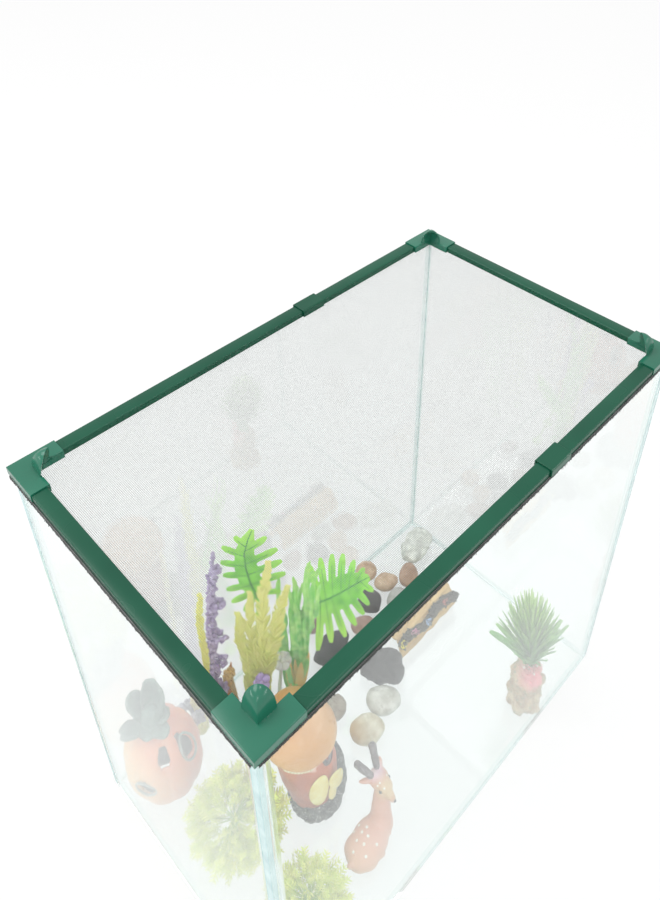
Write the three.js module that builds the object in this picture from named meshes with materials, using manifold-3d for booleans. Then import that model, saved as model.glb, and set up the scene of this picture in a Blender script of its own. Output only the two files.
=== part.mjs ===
// A glass hamster cage with a framed mesh lid and its furnishings. Millimetres, +Z up.
// The origin is the centre of the tank's underside. X runs along the long side and -Y is the front.
import * as THREE from 'three';
import { mergeVertices } from 'three/addons/utils/BufferGeometryUtils.js';
import Module from 'manifold-3d';

const wasm = await Module();
wasm.setup();

// Tank
const tank = { length: 400, width: 240, height: 400, glass: 5, seam: 0.3, arris: 0.5 };
const bead = { leg: 4, gap: 0.05, steps: 5, topClear: 6 };

// Lid. Depths d are measured inwards from the outer face of the glass, heights from its top edge.
const net = { base: 0.3, thick: 0.3, fringe: 2.9, cornerCut: 3.2 };
const spline = { width: 1.6, height: 1.6 };
const rail = { outer: -1.4, inner: 9.1, bottom: 0.9, top: 6, round: 1, wall: 1, slotTop: 4.8 };
const fit = 0.15; // play of the net in its groove
const clear = 0.3; // play between pieces that slot together
const corner = { outer: -2, inner: 10.8, top: 7, round: 0.6, arm: 30, coreEnd: 24, coreTop: 5.2 };
const lug = { length: 12, root: 2 };
const hood = { wall: 1.2, half: 8.5, depth: 7.8, height: 14.5, lean: 3.5, rings: 7, ribs: 10 };
const joiner = { outer: -2.9, inner: 10.6, top: 7.2, bevel: 0.9, length: 22, at: 47, saddleTop: 6.3 };

const grooveWidth = spline.width + 2 * net.thick + 4 * fit;
const grooveMid = (rail.outer + rail.inner) / 2;
const groove = {
  low: grooveMid - grooveWidth / 2,
  high: grooveMid + grooveWidth / 2,
  top: net.base + spline.height + net.thick + 2 * fit,
};
const outerSlot = { low: rail.outer + rail.wall, high: groove.low - rail.wall, top: rail.slotTop };
const innerSlot = { low: groove.high + rail.wall, high: rail.inner - rail.wall, top: rail.slotTop };

const halfLength = tank.length / 2;
const halfWidth = tank.width / 2;
const floorTop = tank.glass + 0.3; // furnishings stand this high, just clear of the floor glass

// Furnishings. Each place is the middle of the piece on the floor.
const hut = {
  at: [-83, -12], foot: { radius: 26.5, stretch: 1.36, shift: 7 }, stemTop: 104, capShift: [-6, 6],
  cap: 30.5, domeTop: 136,
  window: { half: 5.4, tall: 1.6, z: 90, angle: -1.57, face: 19.6 },
  doors: [
    { half: 9.6, tall: 1.9, z: 54, angle: -2.08, face: 24.6 },
    { half: 6.6, tall: 1.9, z: 47, angle: -1.05, face: 25.3 },
  ],
};
const pumpkin = {
  at: [-161.8, 81.8], radius: 32.5, height: 104, wall: 4, lobes: 8, ripple: 0.06, leafThick: 3.5,
  openings: [
    { half: 7.5, tall: 1.7, z: 79, angle: -1.1 },
    { half: 6, tall: 1.4, z: 84, angle: -1.95 },
    { half: 7.5, tall: 0.95, z: 55, angle: -2.6 },
  ],
  crownShift: [-3, 3],
  crown: [
    { angle: 1.8, reach: 21, rise: 20, width: 17 },
    { angle: 0.67, reach: 16, rise: 34, width: 18 },
    { angle: 0.1, reach: 15, rise: 27, width: 16 },
    { angle: -0.7, reach: 20, rise: 6, width: 15 },
    { angle: -2.4, reach: 28, rise: -6, width: 18 },
    { angle: 2.8, reach: 27, rise: -3, width: 16 },
    { angle: -1.5, reach: 22, rise: -3, width: 15 },
  ],
};
const log = {
  at: [62, 27], length: 85, depth: 27, height: 25, wall: 3.5, swell: [1, 1.04, 0.97, 1],
  garland: { thick: 2.4, proud: 0.8, around: 0.85, wave: 0.1 },
};
const fawn = { at: [-77, -76], turn: 12 };
const tuft = {
  at: [115, -96], count: 13, spread: 28, height: 96, width: 4.5, lean: [2, 12],
  rock: [[0, 0], [15, 0], [15.6, 8], [13.5, 18], [14.6, 30], [12, 44], [9.5, 57], [7, 60], [0, 60]],
};
const spike = { at: [-99, 100], height: 238, knots: 14, radius: 5.6, swell: 2.4, lean: [14, -9] };
// A split leaf's outline is given on its blade as [across, along]: the run of its midrib, and each
// lobe's tip with the place on the midrib that the lobe starts from.
const leaf = { stalk: 2.4, thick: 1.6, heart: 15, lobe: 12, stalkBow: [-6, -4, 8] };
const leftLeaf = {
  heel: [-2, -12, 160], rib: [0.09, 0.33, 0.94], spread: [0.69, -0.72, 0],
  midrib: [[0, -7], [-5, 28], [-3, 44], [8, 65]],
  lobes: [
    [-8, 61, 50], [-21, 53, 41], [-25, 38, 30], [-26, 25, 20], [-26, 10, 10], [-22, -5, 2],
    [19, 56, 45], [26, 44, 32], [27, 31, 21], [28, 18, 11], [20, 2, 2],
  ],
};
const rightLeaf = {
  heel: [16, -21, 108], rib: [0.8, -0.565, 0.22], spread: [0.25, 0.63, 0.73],
  midrib: [[0, -7], [3, 20], [6, 33], [9, 50]],
  lobes: [
    [37, -2, 2], [38, 11, 7], [38, 22, 14], [36, 32, 21], [27, 41, 29], [18, 48, 36],
    [-15, 43, 34], [-22, 36, 27], [-29, 26, 19], [-36, 14, 11], [-38, 0, 4],
  ],
};
const pebbles = [
  { name: 'pebble_slate', at: [40, 18], size: [44, 33, 26], turn: -60, phase: 1.1, color: '#4d4d4f' },
  { name: 'pebble_white', at: [15, -4], size: [34, 26, 20], turn: -44, phase: 2.3, color: '#d9d4c6' },
  { name: 'pebble_honey', at: [-16, -12], size: [34, 27, 20], turn: -38, phase: 0.4, color: '#d3c08c' },
  { name: 'pebble_grey_brown', at: [-22, 24], size: [26, 21, 16], turn: 20, phase: 3, color: '#a79c8f' },
  { name: 'pebble_long_slate', at: [17, 67], size: [47, 27, 14], turn: 4, phase: 2.6, color: '#3f3d3d' },
  { name: 'pebble_mottled', at: [23, 99], size: [23, 18, 12], turn: 30, phase: 1.3, color: '#8a6f66' },
  { name: 'pebble_tan', at: [103, 101], size: [27, 22, 18], turn: 10, phase: 4.2, color: '#b08f74' },
  { name: 'pebble_sand', at: [111, 78], size: [28, 21, 16], turn: -20, phase: 5.1, color: '#b59a80' },
  { name: 'pebble_brown', at: [134, 65], size: [30, 22, 17], turn: 35, phase: 0.9, color: '#8f6f58' },
  { name: 'pebble_pale', at: [104, 56], size: [24, 19, 15], turn: -10, phase: 1.7, color: '#c9c6c1' },
  { name: 'pebble_charcoal', at: [83, 74], size: [32, 23, 15], turn: 70, phase: 2.8, color: '#4a4644' },
  { name: 'pebble_rose', at: [56, 60], size: [26, 20, 14], turn: -30, phase: 3.7, color: '#b98d7c' },
  { name: 'coral_stone', at: [167, 84], size: [44, 33, 18], turn: 15, phase: 5.6, color: '#c9c8bd' },
];

// Materials
const finish = (color, roughness, metalness = 0, opacity = 1) =>
  new THREE.MeshStandardMaterial({ color, roughness, metalness, opacity, transparent: opacity < 1 });
const clearGlass = finish('#dcecea', 0.05, 0, 0.3);
const silicone = finish('#c9d3d2', 0.4, 0, 0.6);
const greenPlastic = finish('#23704f', 0.38);
const wireScreen = finish('#8f9492', 0.5, 0.2);
const blackRubber = finish('#141414', 0.8);
const tanResin = finish('#d9a066', 0.35);
const orangeResin = finish('#d9662f', 0.45);
const paleResin = finish('#cf9a72', 0.4);
const barkResin = finish('#c79a5e', 0.6);
const leafGreen = finish('#4fae3c', 0.45);
const limeGreen = finish('#b7c63a', 0.5);
const deepGreen = finish('#3c8a4a', 0.5);
const purpleFlower = finish('#6b5a86', 0.6);
const roughStone = finish('#c39b92', 0.85);

// ---- geometry helpers ----

function signedVolume(positions, index) {
  let six = 0;
  const [a, b, c] = [new THREE.Vector3(), new THREE.Vector3(), new THREE.Vector3()];
  for (let i = 0; i < index.length; i += 3) {
    a.fromArray(positions, 3 * index[i]);
    b.fromArray(positions, 3 * index[i + 1]);
    c.fromArray(positions, 3 * index[i + 2]);
    six += a.dot(b.cross(c));
  }
  return six / 6;
}

// A closed surface from its points and triangles, turned to face outwards.
function closedSurface(points, triangles) {
  const positions = points.flat();
  const index = triangles.flat();
  if (signedVolume(positions, index) < 0) index.reverse();
  const made = new THREE.BufferGeometry();
  made.setAttribute('position', new THREE.Float32BufferAttribute(positions, 3));
  made.setIndex(index);
  return made;
}

function toSolid(geometry) {
  const bare = geometry.clone();
  for (const name of ['normal', 'uv']) bare.deleteAttribute(name);
  const merged = mergeVertices(bare, 1e-4);
  return new wasm.Manifold(new wasm.Mesh({
    numProp: 3,
    vertProperties: merged.attributes.position.array,
    triVerts: new Uint32Array(merged.index.array),
  }));
}

function toGeometry(solid) {
  const { vertProperties, triVerts } = solid.getMesh();
  const made = new THREE.BufferGeometry();
  made.setAttribute('position', new THREE.BufferAttribute(vertProperties, 3));
  made.setIndex(new THREE.BufferAttribute(triVerts, 1));
  return made;
}

function join(first, ...others) {
  return toGeometry(others.reduce((sum, piece) => sum.add(toSolid(piece)), toSolid(first)));
}

function cut(first, ...others) {
  return toGeometry(others.reduce((rest, piece) => rest.subtract(toSolid(piece)), toSolid(first)));
}

function box(low, high) {
  const size = high.map((value, axis) => value - low[axis]);
  const middle = high.map((value, axis) => (value + low[axis]) / 2);
  return new THREE.BoxGeometry(...size).translate(...middle);
}

function polar(radius, angle) {
  return [radius * Math.cos(angle), radius * Math.sin(angle)];
}

// Carries a section of [d, z] points through stations, each of which turns d into [x, y].
function sweep(section, stations, closed = false) {
  const points = stations.flatMap((at) => section.map(([d, z]) => [...at(d), z]));
  const n = section.length;
  const last = closed ? stations.length : stations.length - 1;
  const triangles = [];
  for (let s = 0; s < last; s += 1) {
    const here = s * n;
    const next = ((s + 1) % stations.length) * n;
    for (let i = 0; i < n; i += 1) {
      const j = (i + 1) % n;
      triangles.push([here + i, here + j, next + j], [here + i, next + j, next + i]);
    }
  }
  if (!closed) {
    const outline = section.map(([d, z]) => new THREE.Vector2(d, z));
    const turned = THREE.ShapeUtils.isClockWise(outline);
    for (const [a, b, c] of THREE.ShapeUtils.triangulateShape(outline, [])) {
      const end = last * n;
      const [p, q] = turned ? [b, c] : [c, b];
      triangles.push([a, p, q], [end + a, end + q, end + p]);
    }
  }
  return closedSurface(points, triangles);
}

// The four corners of the rectangle that lies d inside the outer face of the glass.
const ringStations = [[-1, -1], [1, -1], [1, 1], [-1, 1]].map(
  ([sx, sy]) => (d) => [sx * (halfLength - d), sy * (halfWidth - d)],
);

function arc(centre, radius, from, to, steps) {
  return Array.from({ length: steps + 1 }, (_, i) => {
    const [x, y] = polar(radius, from + ((to - from) * i) / steps);
    return [centre[0] + x, centre[1] + y];
  });
}

// ---- tank ----

// A pane with its edges ground to a small arris, lying in XY and centred on the origin.
function pane(length, width) {
  const c = tank.arris;
  const outline = new THREE.Shape();
  outline.moveTo(c - length / 2, c - width / 2);
  outline.lineTo(length / 2 - c, c - width / 2);
  outline.lineTo(length / 2 - c, width / 2 - c);
  outline.lineTo(c - length / 2, width / 2 - c);
  outline.closePath();
  const slab = new THREE.ExtrudeGeometry(outline, {
    depth: tank.glass - 2 * c, bevelThickness: c, bevelSize: c, bevelSegments: 1,
  });
  return slab.translate(0, 0, c - tank.glass / 2);
}

// The hollow-faced section of a silicone bead in a corner of two glass faces.
function beadSection(face) {
  const near = face + bead.gap;
  const far = face + bead.leg;
  const radius = far - near;
  return [[near, near], ...arc([far, far], radius, -Math.PI / 2, -Math.PI, bead.steps)];
}

function floorBead() {
  return sweep(beadSection(tank.glass), ringStations, true);
}

function cornerBead(sx, sy) {
  const outline = beadSection(tank.glass).map(
    ([u, v]) => new THREE.Vector2(sx * (halfLength - u), sy * (halfWidth - v)),
  );
  const low = tank.glass + bead.leg + bead.gap;
  const high = tank.height - bead.topClear;
  return new THREE.ExtrudeGeometry(new THREE.Shape(outline), { depth: high - low, bevelEnabled: false })
    .translate(0, 0, low);
}

// ---- lid ----

// An upside-down channel with rounded shoulders and slots in its underside.
function channelSection({ outer, inner, bottom, top, round }, slots) {
  const shoulders = [
    ...arc([outer + round, top - round], round, Math.PI, Math.PI / 2, 3),
    ...arc([inner - round, top - round], round, Math.PI / 2, 0, 3),
  ];
  const underside = slots.flatMap(({ low, high, top: roof }) => [
    [high, bottom], [high, roof], [low, roof], [low, bottom],
  ]);
  return [[outer, bottom], ...shoulders, [inner, bottom], ...underside];
}

const raised = (section) => section.map(([d, z]) => [d, tank.height + z]);

function railBar(sideHalf, from, to, turn) {
  const section = raised(channelSection(rail, [innerSlot, groove, outerSlot]));
  return sweep(section, [(d) => [from, d - sideHalf], (d) => [to, d - sideHalf]]).rotateZ(turn);
}

// The rounded triangular solid of a corner hood. s runs inwards along the diagonal from the tip
// and t across it; the solid is open-ended towards the middle of the lid.
function hoodSolid({ tip, half, height, rim, lean, foot }) {
  const { rings, ribs } = hood;
  const points = [];
  for (let i = -1; i <= rings; i += 1) {
    const rise = (Math.max(i, 0) / rings) * (Math.PI / 2);
    const lift = Math.sin(rise);
    const face = rim + lean * lift;
    const back = tip + (rim + lean - tip) * (1 - Math.cos(rise));
    const roundness = lift ** 2;
    for (let j = 0; j <= ribs; j += 1) {
      const turn = ((j / ribs) * 2 - 1) * (Math.PI / 2);
      const across = Math.sin(turn);
      const bulge = (1 - roundness) * (1 - Math.abs(across)) + roundness * Math.cos(turn);
      const s = face + (back - face) * bulge;
      const t = half * Math.cos(rise) * across;
      points.push([(s - t) / Math.SQRT2, (s + t) / Math.SQRT2, i < 0 ? -foot : height * lift]);
    }
  }
  const row = ribs + 1;
  const triangles = [];
  for (let i = 0; i <= rings; i += 1) {
    for (let j = 0; j < row; j += 1) {
      const k = (j + 1) % row;
      const [a, b, c, d] = [i * row + j, i * row + k, (i + 1) * row + k, (i + 1) * row + j];
      triangles.push([a, b, c], [a, c, d]);
    }
  }
  for (let j = 1; j < ribs; j += 1) triangles.push([0, j + 1, j]);
  return collapsed(points, triangles);
}

// Merges points that coincide, such as a pole, and drops the triangles that vanish with them.
function collapsed(points, triangles) {
  const seen = new Map();
  const kept = [];
  const number = points.map((point) => {
    const key = point.map((value) => value.toFixed(4)).join();
    if (!seen.has(key)) {
      seen.set(key, kept.length);
      kept.push(point);
    }
    return seen.get(key);
  });
  const whole = triangles
    .map((triangle) => triangle.map((i) => number[i]))
    .filter(([a, b, c]) => a !== b && b !== c && c !== a);
  return closedSurface(kept, whole);
}

// One corner moulding, with the outer corner of the glass at the local origin and X, Y inwards.
function cornerPiece() {
  const { arm, coreEnd, coreTop } = corner;
  const bend = (reach) => [(d) => [reach, d], (d) => [d, d], (d) => [d, reach]];
  const body = sweep(channelSection({ ...corner, bottom: rail.bottom }, [groove]), bend(arm));
  const coreFloor = rail.bottom - 1;
  const core = ({ low, high }) => sweep(
    [[low, coreFloor], [low, coreTop], [high, coreTop], [high, coreFloor]], bend(coreEnd),
  );
  const lugs = [outerSlot, innerSlot].flatMap(({ low, high }) => {
    const [near, far] = [arm - lug.root, arm + lug.length];
    const [foot, head] = [rail.bottom + clear, rail.slotTop - clear];
    return [
      box([near, low + clear, foot], [far, high - clear, head]),
      box([low + clear, near, foot], [high - clear, far, head]),
    ];
  });
  const tipAt = (corner.inner - hood.wall) * Math.SQRT2;
  const shell = hoodSolid({
    tip: 0, half: hood.half, height: hood.height, rim: hood.depth, lean: hood.lean, foot: 1,
  });
  const hollow = hoodSolid({
    tip: hood.wall * Math.SQRT2 + 0.05,
    half: hood.half,
    height: hood.height - hood.wall,
    rim: hood.depth + hood.wall * Math.SQRT2,
    lean: hood.lean,
    foot: 2,
  });
  for (const piece of [shell, hollow]) piece.translate(tipAt / Math.SQRT2, tipAt / Math.SQRT2, corner.top);
  const framed = cut(join(body, ...lugs, shell), core(outerSlot), core(innerSlot), hollow);
  return framed.translate(-halfLength, -halfWidth, tank.height);
}

// The sleeve that bridges the butt joint of two rails.
function joinerSleeve(turn) {
  const { outer, inner, top, bevel, saddleTop } = joiner;
  const [near, far] = [rail.outer - clear, rail.inner + clear];
  const section = raised([
    [outer, rail.bottom], [outer, top - bevel], [outer + bevel, top],
    [inner - bevel, top], [inner, top - bevel], [inner, rail.bottom],
    [far, rail.bottom], [far, saddleTop], [near, saddleTop], [near, rail.bottom],
  ]);
  const along = turn ? -joiner.at : joiner.at;
  const ends = [along - joiner.length / 2, along + joiner.length / 2];
  return sweep(section, ends.map((x) => (d) => [x, d - halfWidth])).rotateZ(turn);
}

// The screen: one sheet whose rim is tucked up into the groove over the spline, its cut edge
// standing out past the rails as a short fringe.
function screenSheet() {
  const { base, thick, fringe } = net;
  const [low, high] = [groove.low + fit, groove.high - fit];
  const roof = groove.top - fit;
  const skin = [
    [high, base + thick], [high, roof], [low, roof], [low, base + thick],
    [-fringe, base + thick], [-fringe, base],
    [low + thick, base], [low + thick, roof - thick], [high - thick, roof - thick], [high - thick, base],
  ];
  const points = raised(skin).flatMap(([d, z]) => ringStations.map((at) => [...at(d), z]));
  const triangles = [];
  for (let i = 0; i < skin.length - 1; i += 1) {
    for (let j = 0; j < 4; j += 1) {
      const [a, b] = [4 * i + j, 4 * i + ((j + 1) % 4)];
      triangles.push([a, b, b + 4], [a, b + 4, a + 4]);
    }
  }
  const end = 4 * (skin.length - 1);
  triangles.push([0, 2, 1], [0, 3, 2], [end, end + 1, end + 2], [end, end + 2, end + 3]);
  const sheet = closedSurface(points, triangles);
  const reach = net.cornerCut + 2 * fringe;
  const snips = [[-1, -1], [1, -1], [1, 1], [-1, 1]].map(([sx, sy]) => {
    const [x, y] = [sx * (halfLength + fringe), sy * (halfWidth + fringe)];
    const triangle = [[x, y], [x - sx * reach, y], [x, y - sy * reach]];
    const outward = triangle.map(([px, py]) => new THREE.Vector2(
      px + (px === x ? sx : 0), py + (py === y ? sy : 0),
    ));
    return new THREE.ExtrudeGeometry(new THREE.Shape(outward), { depth: 3, bevelEnabled: false })
      .translate(0, 0, tank.height - 1);
  });
  return cut(sheet, ...snips);
}

function splineCord() {
  const [low, high] = [grooveMid - spline.width / 2, grooveMid + spline.width / 2];
  const [foot, head] = [net.base, net.base + spline.height];
  const crown = 0.4;
  return sweep(raised([
    [low, foot], [low, head - crown], [low + crown, head],
    [high - crown, head], [high, head - crown], [high, foot],
  ]), ringStations, true);
}

// ---- assembly of the cage ----

const cage = new THREE.Group();

function add(name, geometry, material) {
  const mesh = new THREE.Mesh(geometry, material);
  mesh.name = name;
  cage.add(mesh);
  return mesh;
}

function buildTank() {
  const { glass, seam, length, width, height } = tank;
  const upright = (geometry, turn) => geometry.rotateX(Math.PI / 2).rotateZ(turn);
  const inside = 2 * (glass + seam);
  add('floor_glass', pane(length - inside, width - inside).translate(0, 0, glass / 2), clearGlass);
  for (const [name, side] of [['front_glass', -1], ['back_glass', 1]]) {
    add(name, upright(pane(length, height), 0), clearGlass)
      .position.set(0, side * (halfWidth - glass / 2), height / 2);
  }
  for (const [name, side] of [['left_glass', -1], ['right_glass', 1]]) {
    add(name, upright(pane(width - inside, height), Math.PI / 2), clearGlass)
      .position.set(side * (halfLength - glass / 2), 0, height / 2);
  }
  add('floor_silicone_bead', floorBead(), silicone);
  for (const [name, sx, sy] of [
    ['silicone_bead_front_left', -1, -1], ['silicone_bead_front_right', 1, -1],
    ['silicone_bead_back_right', 1, 1], ['silicone_bead_back_left', -1, 1],
  ]) {
    add(name, cornerBead(sx, sy), silicone);
  }
}

function buildLid() {
  const halfTurn = Math.PI;
  const quarter = Math.PI / 2;
  const corners = ['corner_front_left', 'corner_front_right', 'corner_back_right', 'corner_back_left'];
  corners.forEach((name, i) => {
    const long = i % 2 === 0;
    const piece = cornerPiece();
    if (!long) piece.translate(halfLength - halfWidth, halfWidth - halfLength, 0);
    add(name, piece.rotateZ(i * quarter), greenPlastic);
  });
  const longEnd = halfLength - corner.arm - clear;
  const shortEnd = halfWidth - corner.arm - clear;
  const butt = clear / 2;
  add('rail_front_left', railBar(halfWidth, -longEnd, joiner.at - butt, 0), greenPlastic);
  add('rail_front_right', railBar(halfWidth, joiner.at + butt, longEnd, 0), greenPlastic);
  add('rail_back_left', railBar(halfWidth, butt - joiner.at, longEnd, halfTurn), greenPlastic);
  add('rail_back_right', railBar(halfWidth, -longEnd, -joiner.at - butt, halfTurn), greenPlastic);
  add('rail_right', railBar(halfLength, -shortEnd, shortEnd, quarter), greenPlastic);
  add('rail_left', railBar(halfLength, -shortEnd, shortEnd, -quarter), greenPlastic);
  add('joiner_front', joinerSleeve(0), greenPlastic);
  add('joiner_back', joinerSleeve(halfTurn), greenPlastic);
  add('mesh_screen', screenSheet(), wireScreen);
  add('screen_spline', splineCord(), blackRubber);
}

// ---- furnishings ----

const up = new THREE.Vector3(0, 0, 1);
const vector = (values) => new THREE.Vector3(...values);

// A flat tapering leaf blade along a curve. widthAt gives its width at a share of its length.
function blade(curve, widthAt, thick, side, steps) {
  const points = [];
  for (let i = 0; i < steps; i += 1) {
    const share = i / steps;
    const at = curve.getPoint(share);
    const along = curve.getTangent(share);
    const across = side.clone().addScaledVector(along, -side.dot(along)).normalize();
    const raise = across.clone().cross(along);
    const half = widthAt(share) / 2;
    const depth = (thick / 2) * (1 - share / 2);
    for (const [w, h] of [[half, 0], [0, depth], [-half, 0], [0, -depth]]) {
      points.push(at.clone().addScaledVector(across, w).addScaledVector(raise, h).toArray());
    }
  }
  points.push(curve.getPoint(1).toArray());
  const triangles = [[0, 2, 1], [0, 3, 2]];
  for (let i = 0; i < steps - 1; i += 1) {
    for (let j = 0; j < 4; j += 1) {
      const [a, b] = [4 * i + j, 4 * i + ((j + 1) % 4)];
      triangles.push([a, b, b + 4], [a, b + 4, a + 4]);
    }
  }
  const [ring, tip] = [4 * (steps - 1), 4 * steps];
  for (let j = 0; j < 4; j += 1) triangles.push([ring + j, ring + ((j + 1) % 4), tip]);
  return closedSurface(points, triangles);
}

function bowed(from, to, bow) {
  const middle = vector(from).add(vector(to)).multiplyScalar(0.5).add(vector(bow));
  return new THREE.QuadraticBezierCurve3(vector(from), middle, vector(to));
}

const spearhead = (width) => (share) => width * (0.35 + 1.3 * share * (1 - share)) * (1 - share ** 4);

function puck(radius, height) {
  return new THREE.CylinderGeometry(radius, radius, height, 12)
    .rotateX(Math.PI / 2)
    .translate(0, 0, height / 2);
}

// Blades standing on a small round foot, joined into one plant.
function plant(foot, blades) {
  return join(puck(foot.radius, foot.height), ...blades);
}

function grassPlant({ count, spread, height, width, foot, lean = [0, 0], steps = 4 }) {
  const blades = Array.from({ length: count }, (_, i) => {
    const angle = i * 2.4;
    const reach = spread * Math.sqrt((i + 0.5) / count);
    const [x, y] = polar(reach, angle);
    const [bx, by] = polar(foot.radius * 0.5 * Math.sqrt((i + 0.5) / count), angle);
    const tall = height * (1 - 0.3 * ((i * 0.618) % 1));
    const tip = [x + lean[0], y + lean[1], tall];
    const curve = bowed([bx, by, foot.height / 2], tip, [0, 0, tall * 0.12]);
    const across = vector([-Math.sin(angle), Math.cos(angle), 0]);
    return blade(curve, spearhead(width), width * 0.3, across, steps);
  });
  return plant(foot, blades);
}

// A broad leaf on its stem, cut into lobes on both sides of its midrib. rib and spread are the
// directions of its length and of its width.
function splitLeaf({ heel, rib, spread, midrib, lobes }) {
  const root = vector(heel);
  const [along, across] = [vector(rib).normalize(), vector(spread).normalize()];
  const onBlade = (u, v) => root.clone().addScaledVector(across, u).addScaledVector(along, v);
  const stalk = blade(bowed([0, 0, 2], heel, leaf.stalkBow), () => leaf.stalk, leaf.stalk, across, 5);
  const spine = new THREE.CatmullRomCurve3(midrib.map(([u, v]) => onBlade(u, v)));
  const heart = blade(spine, (share) => leaf.heart * (1 - share) + leaf.stalk, leaf.thick, across, 5);
  const [low, high] = [midrib[0][1], midrib[midrib.length - 1][1]];
  const fingers = lobes.map(([u, v, start]) => {
    const [from, to] = [spine.getPoint((start - low) / (high - low)), onBlade(u, v)];
    const curve = bowed(from.toArray(), to.toArray(), [0, 0, 1.5]);
    return blade(curve, spearhead(leaf.lobe), leaf.thick, along, 3);
  });
  return [stalk, heart, ...fingers];
}

function ball([x, y, z], [rx, ry, rz], detail = 1) {
  return new THREE.IcosahedronGeometry(1, detail).scale(rx, ry, rz).translate(x, y, z);
}

// A river pebble: a squashed ball with gentle swells, its lowest point at z = 0.
function pebble([length, width, height], phase, detail = 2) {
  const stone = new THREE.IcosahedronGeometry(1, detail);
  const place = stone.attributes.position;
  const point = new THREE.Vector3();
  for (let i = 0; i < place.count; i += 1) {
    point.fromBufferAttribute(place, i);
    const swell = 1 + 0.07 * Math.sin(2.3 * point.x + phase) * Math.cos(1.9 * point.y - phase)
      + 0.05 * Math.sin(3.1 * point.z + 2 * phase);
    place.setXYZ(i, point.x * swell, point.y * swell, Math.max(point.z * swell, -0.72));
  }
  stone.scale(length / 2, width / 2, height / 1.72);
  stone.computeBoundingBox();
  const { min, max } = stone.boundingBox;
  return stone.translate(-(min.x + max.x) / 2, -(min.y + max.y) / 2, -min.z);
}

function turned(profile, segments = 24) {
  return new THREE.LatheGeometry(profile.map(([r, z]) => new THREE.Vector2(r, z)), segments)
    .rotateX(Math.PI / 2);
}

// Changes each point's distance from the Z axis by a factor of its angle and height.
function modulated(geometry, factor) {
  const place = geometry.attributes.position;
  for (let i = 0; i < place.count; i += 1) {
    const [x, y, z] = [place.getX(i), place.getY(i), place.getZ(i)];
    const scale = factor(Math.atan2(y, x), z);
    place.setXYZ(i, x * scale, y * scale, z);
  }
  return geometry;
}

// Shears a piece sideways so that what stands at a given height moves by shift.
function leaned(geometry, shift, height, power = 1) {
  const at = geometry.attributes.position;
  for (let i = 0; i < at.count; i += 1) {
    const share = (at.getZ(i) / height) ** power;
    at.setXYZ(i, at.getX(i) + shift[0] * share, at.getY(i) + shift[1] * share, at.getZ(i));
  }
  return geometry;
}

// A cutter along X for a doorway or window, tall times as high as it is wide.
function opening(halfWide, tall, depth, sides) {
  return new THREE.CylinderGeometry(halfWide, halfWide, depth, sides)
    .rotateZ(Math.PI / 2)
    .scale(1, 1, tall);
}

// A mushroom house cast in one piece: a rock foot, a stem with two door panels and a window, and a
// domed cap.
function mushroomHut() {
  const { foot, stemTop, cap, domeTop, capShift, window, doors } = hut;
  const dome = arc([0, 0], 1, 0, Math.PI / 2, 5)
    .slice(0, -1)
    .map(([r, z]) => [r * cap, stemTop + z * (domeTop - stemTop)]);
  const under = [[0, stemTop - 4], [cap * 0.6, stemTop - 6], [cap * 0.93, stemTop - 5]];
  const capBody = turned([...under, ...dome, [0, domeTop]], 20).translate(...capShift, 0);
  const stemProfile = [[0, 4], [24, 4], [25, 24], [24.4, 50], [23.4, 78], [23, stemTop - 2], [0, stemTop - 2]];
  const stem = leaned(turned(stemProfile, 20), capShift, stemTop);
  const footProfile = [[0, 0], [1, 0], [1.02, 5], [0.96, 13], [0.8, 19], [0, 19]];
  const footing = modulated(
    turned(footProfile.map(([r, z]) => [r * foot.radius, z]), 20),
    (angle) => 1 + 0.025 * Math.sin(5 * angle) - 0.02 * Math.cos(3 * angle),
  ).scale(foot.stretch, 1, 1).rotateZ(Math.PI / 4).translate(foot.shift, foot.shift, 0);
  const panelDepth = 8;
  const panel = ({ half, tall, z, angle, face }, sides) => opening(half, tall, panelDepth, sides)
    .translate(face - panelDepth / 2, 0, z)
    .rotateZ(angle);
  const pit = opening(window.half, window.tall, panelDepth, 12)
    .translate(window.face + panelDepth / 2, 0, window.z)
    .rotateZ(window.angle);
  return cut(join(footing, stem, capBody, ...doors.map((door) => panel(door, 16))), pit);
}

// A flattened ball with upright lobes, cut off level at its foot.
function egg(radius, foot, top, sides) {
  const middle = top / 2 - 3;
  const rise = top - middle;
  const levels = [-0.85, -0.45, 0, 0.4, 0.72, 0.92];
  const profile = levels.map((level) => [radius * Math.sqrt(1 - level * level), middle + level * rise]);
  profile[0][1] = foot;
  return turned([[0, foot], ...profile, [0, top]], sides);
}

function lobed(radius, foot, top) {
  return modulated(egg(radius, foot, top, 3 * pumpkin.lobes), (angle) => {
    const bulge = Math.abs(Math.cos((pumpkin.lobes / 2) * angle));
    return 1 - pumpkin.ripple * (1 - bulge);
  });
}

// A hollow pumpkin hide, open underneath, with three openings in its wall and a leafy crown.
function pumpkinHide() {
  const { radius, height, wall, openings, crown, crownShift, leafThick } = pumpkin;
  const body = cut(lobed(radius, 0, height), egg(radius - wall, -1, height - wall, 12));
  const reach = radius + 8;
  const holes = openings.map(({ half, tall, z, angle }) => (
    opening(half, tall, reach, 14).translate(reach / 2 + 10, 0, z).rotateZ(angle)
  ));
  const [shiftX, shiftY] = crownShift;
  const leaves = crown.map(({ angle, reach: out, rise, width }) => {
    const [x, y] = polar(out, angle);
    const tip = [x + shiftX, y + shiftY, height + rise];
    const across = vector([-Math.sin(angle), Math.cos(angle), 0]);
    const curve = bowed([shiftX * 0.6, shiftY * 0.6, height - 5], tip, [x * 0.3, y * 0.3, 5]);
    return blade(curve, spearhead(width), leafThick, across, 3);
  });
  return join(cut(body, ...holes), ...leaves);
}

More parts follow.
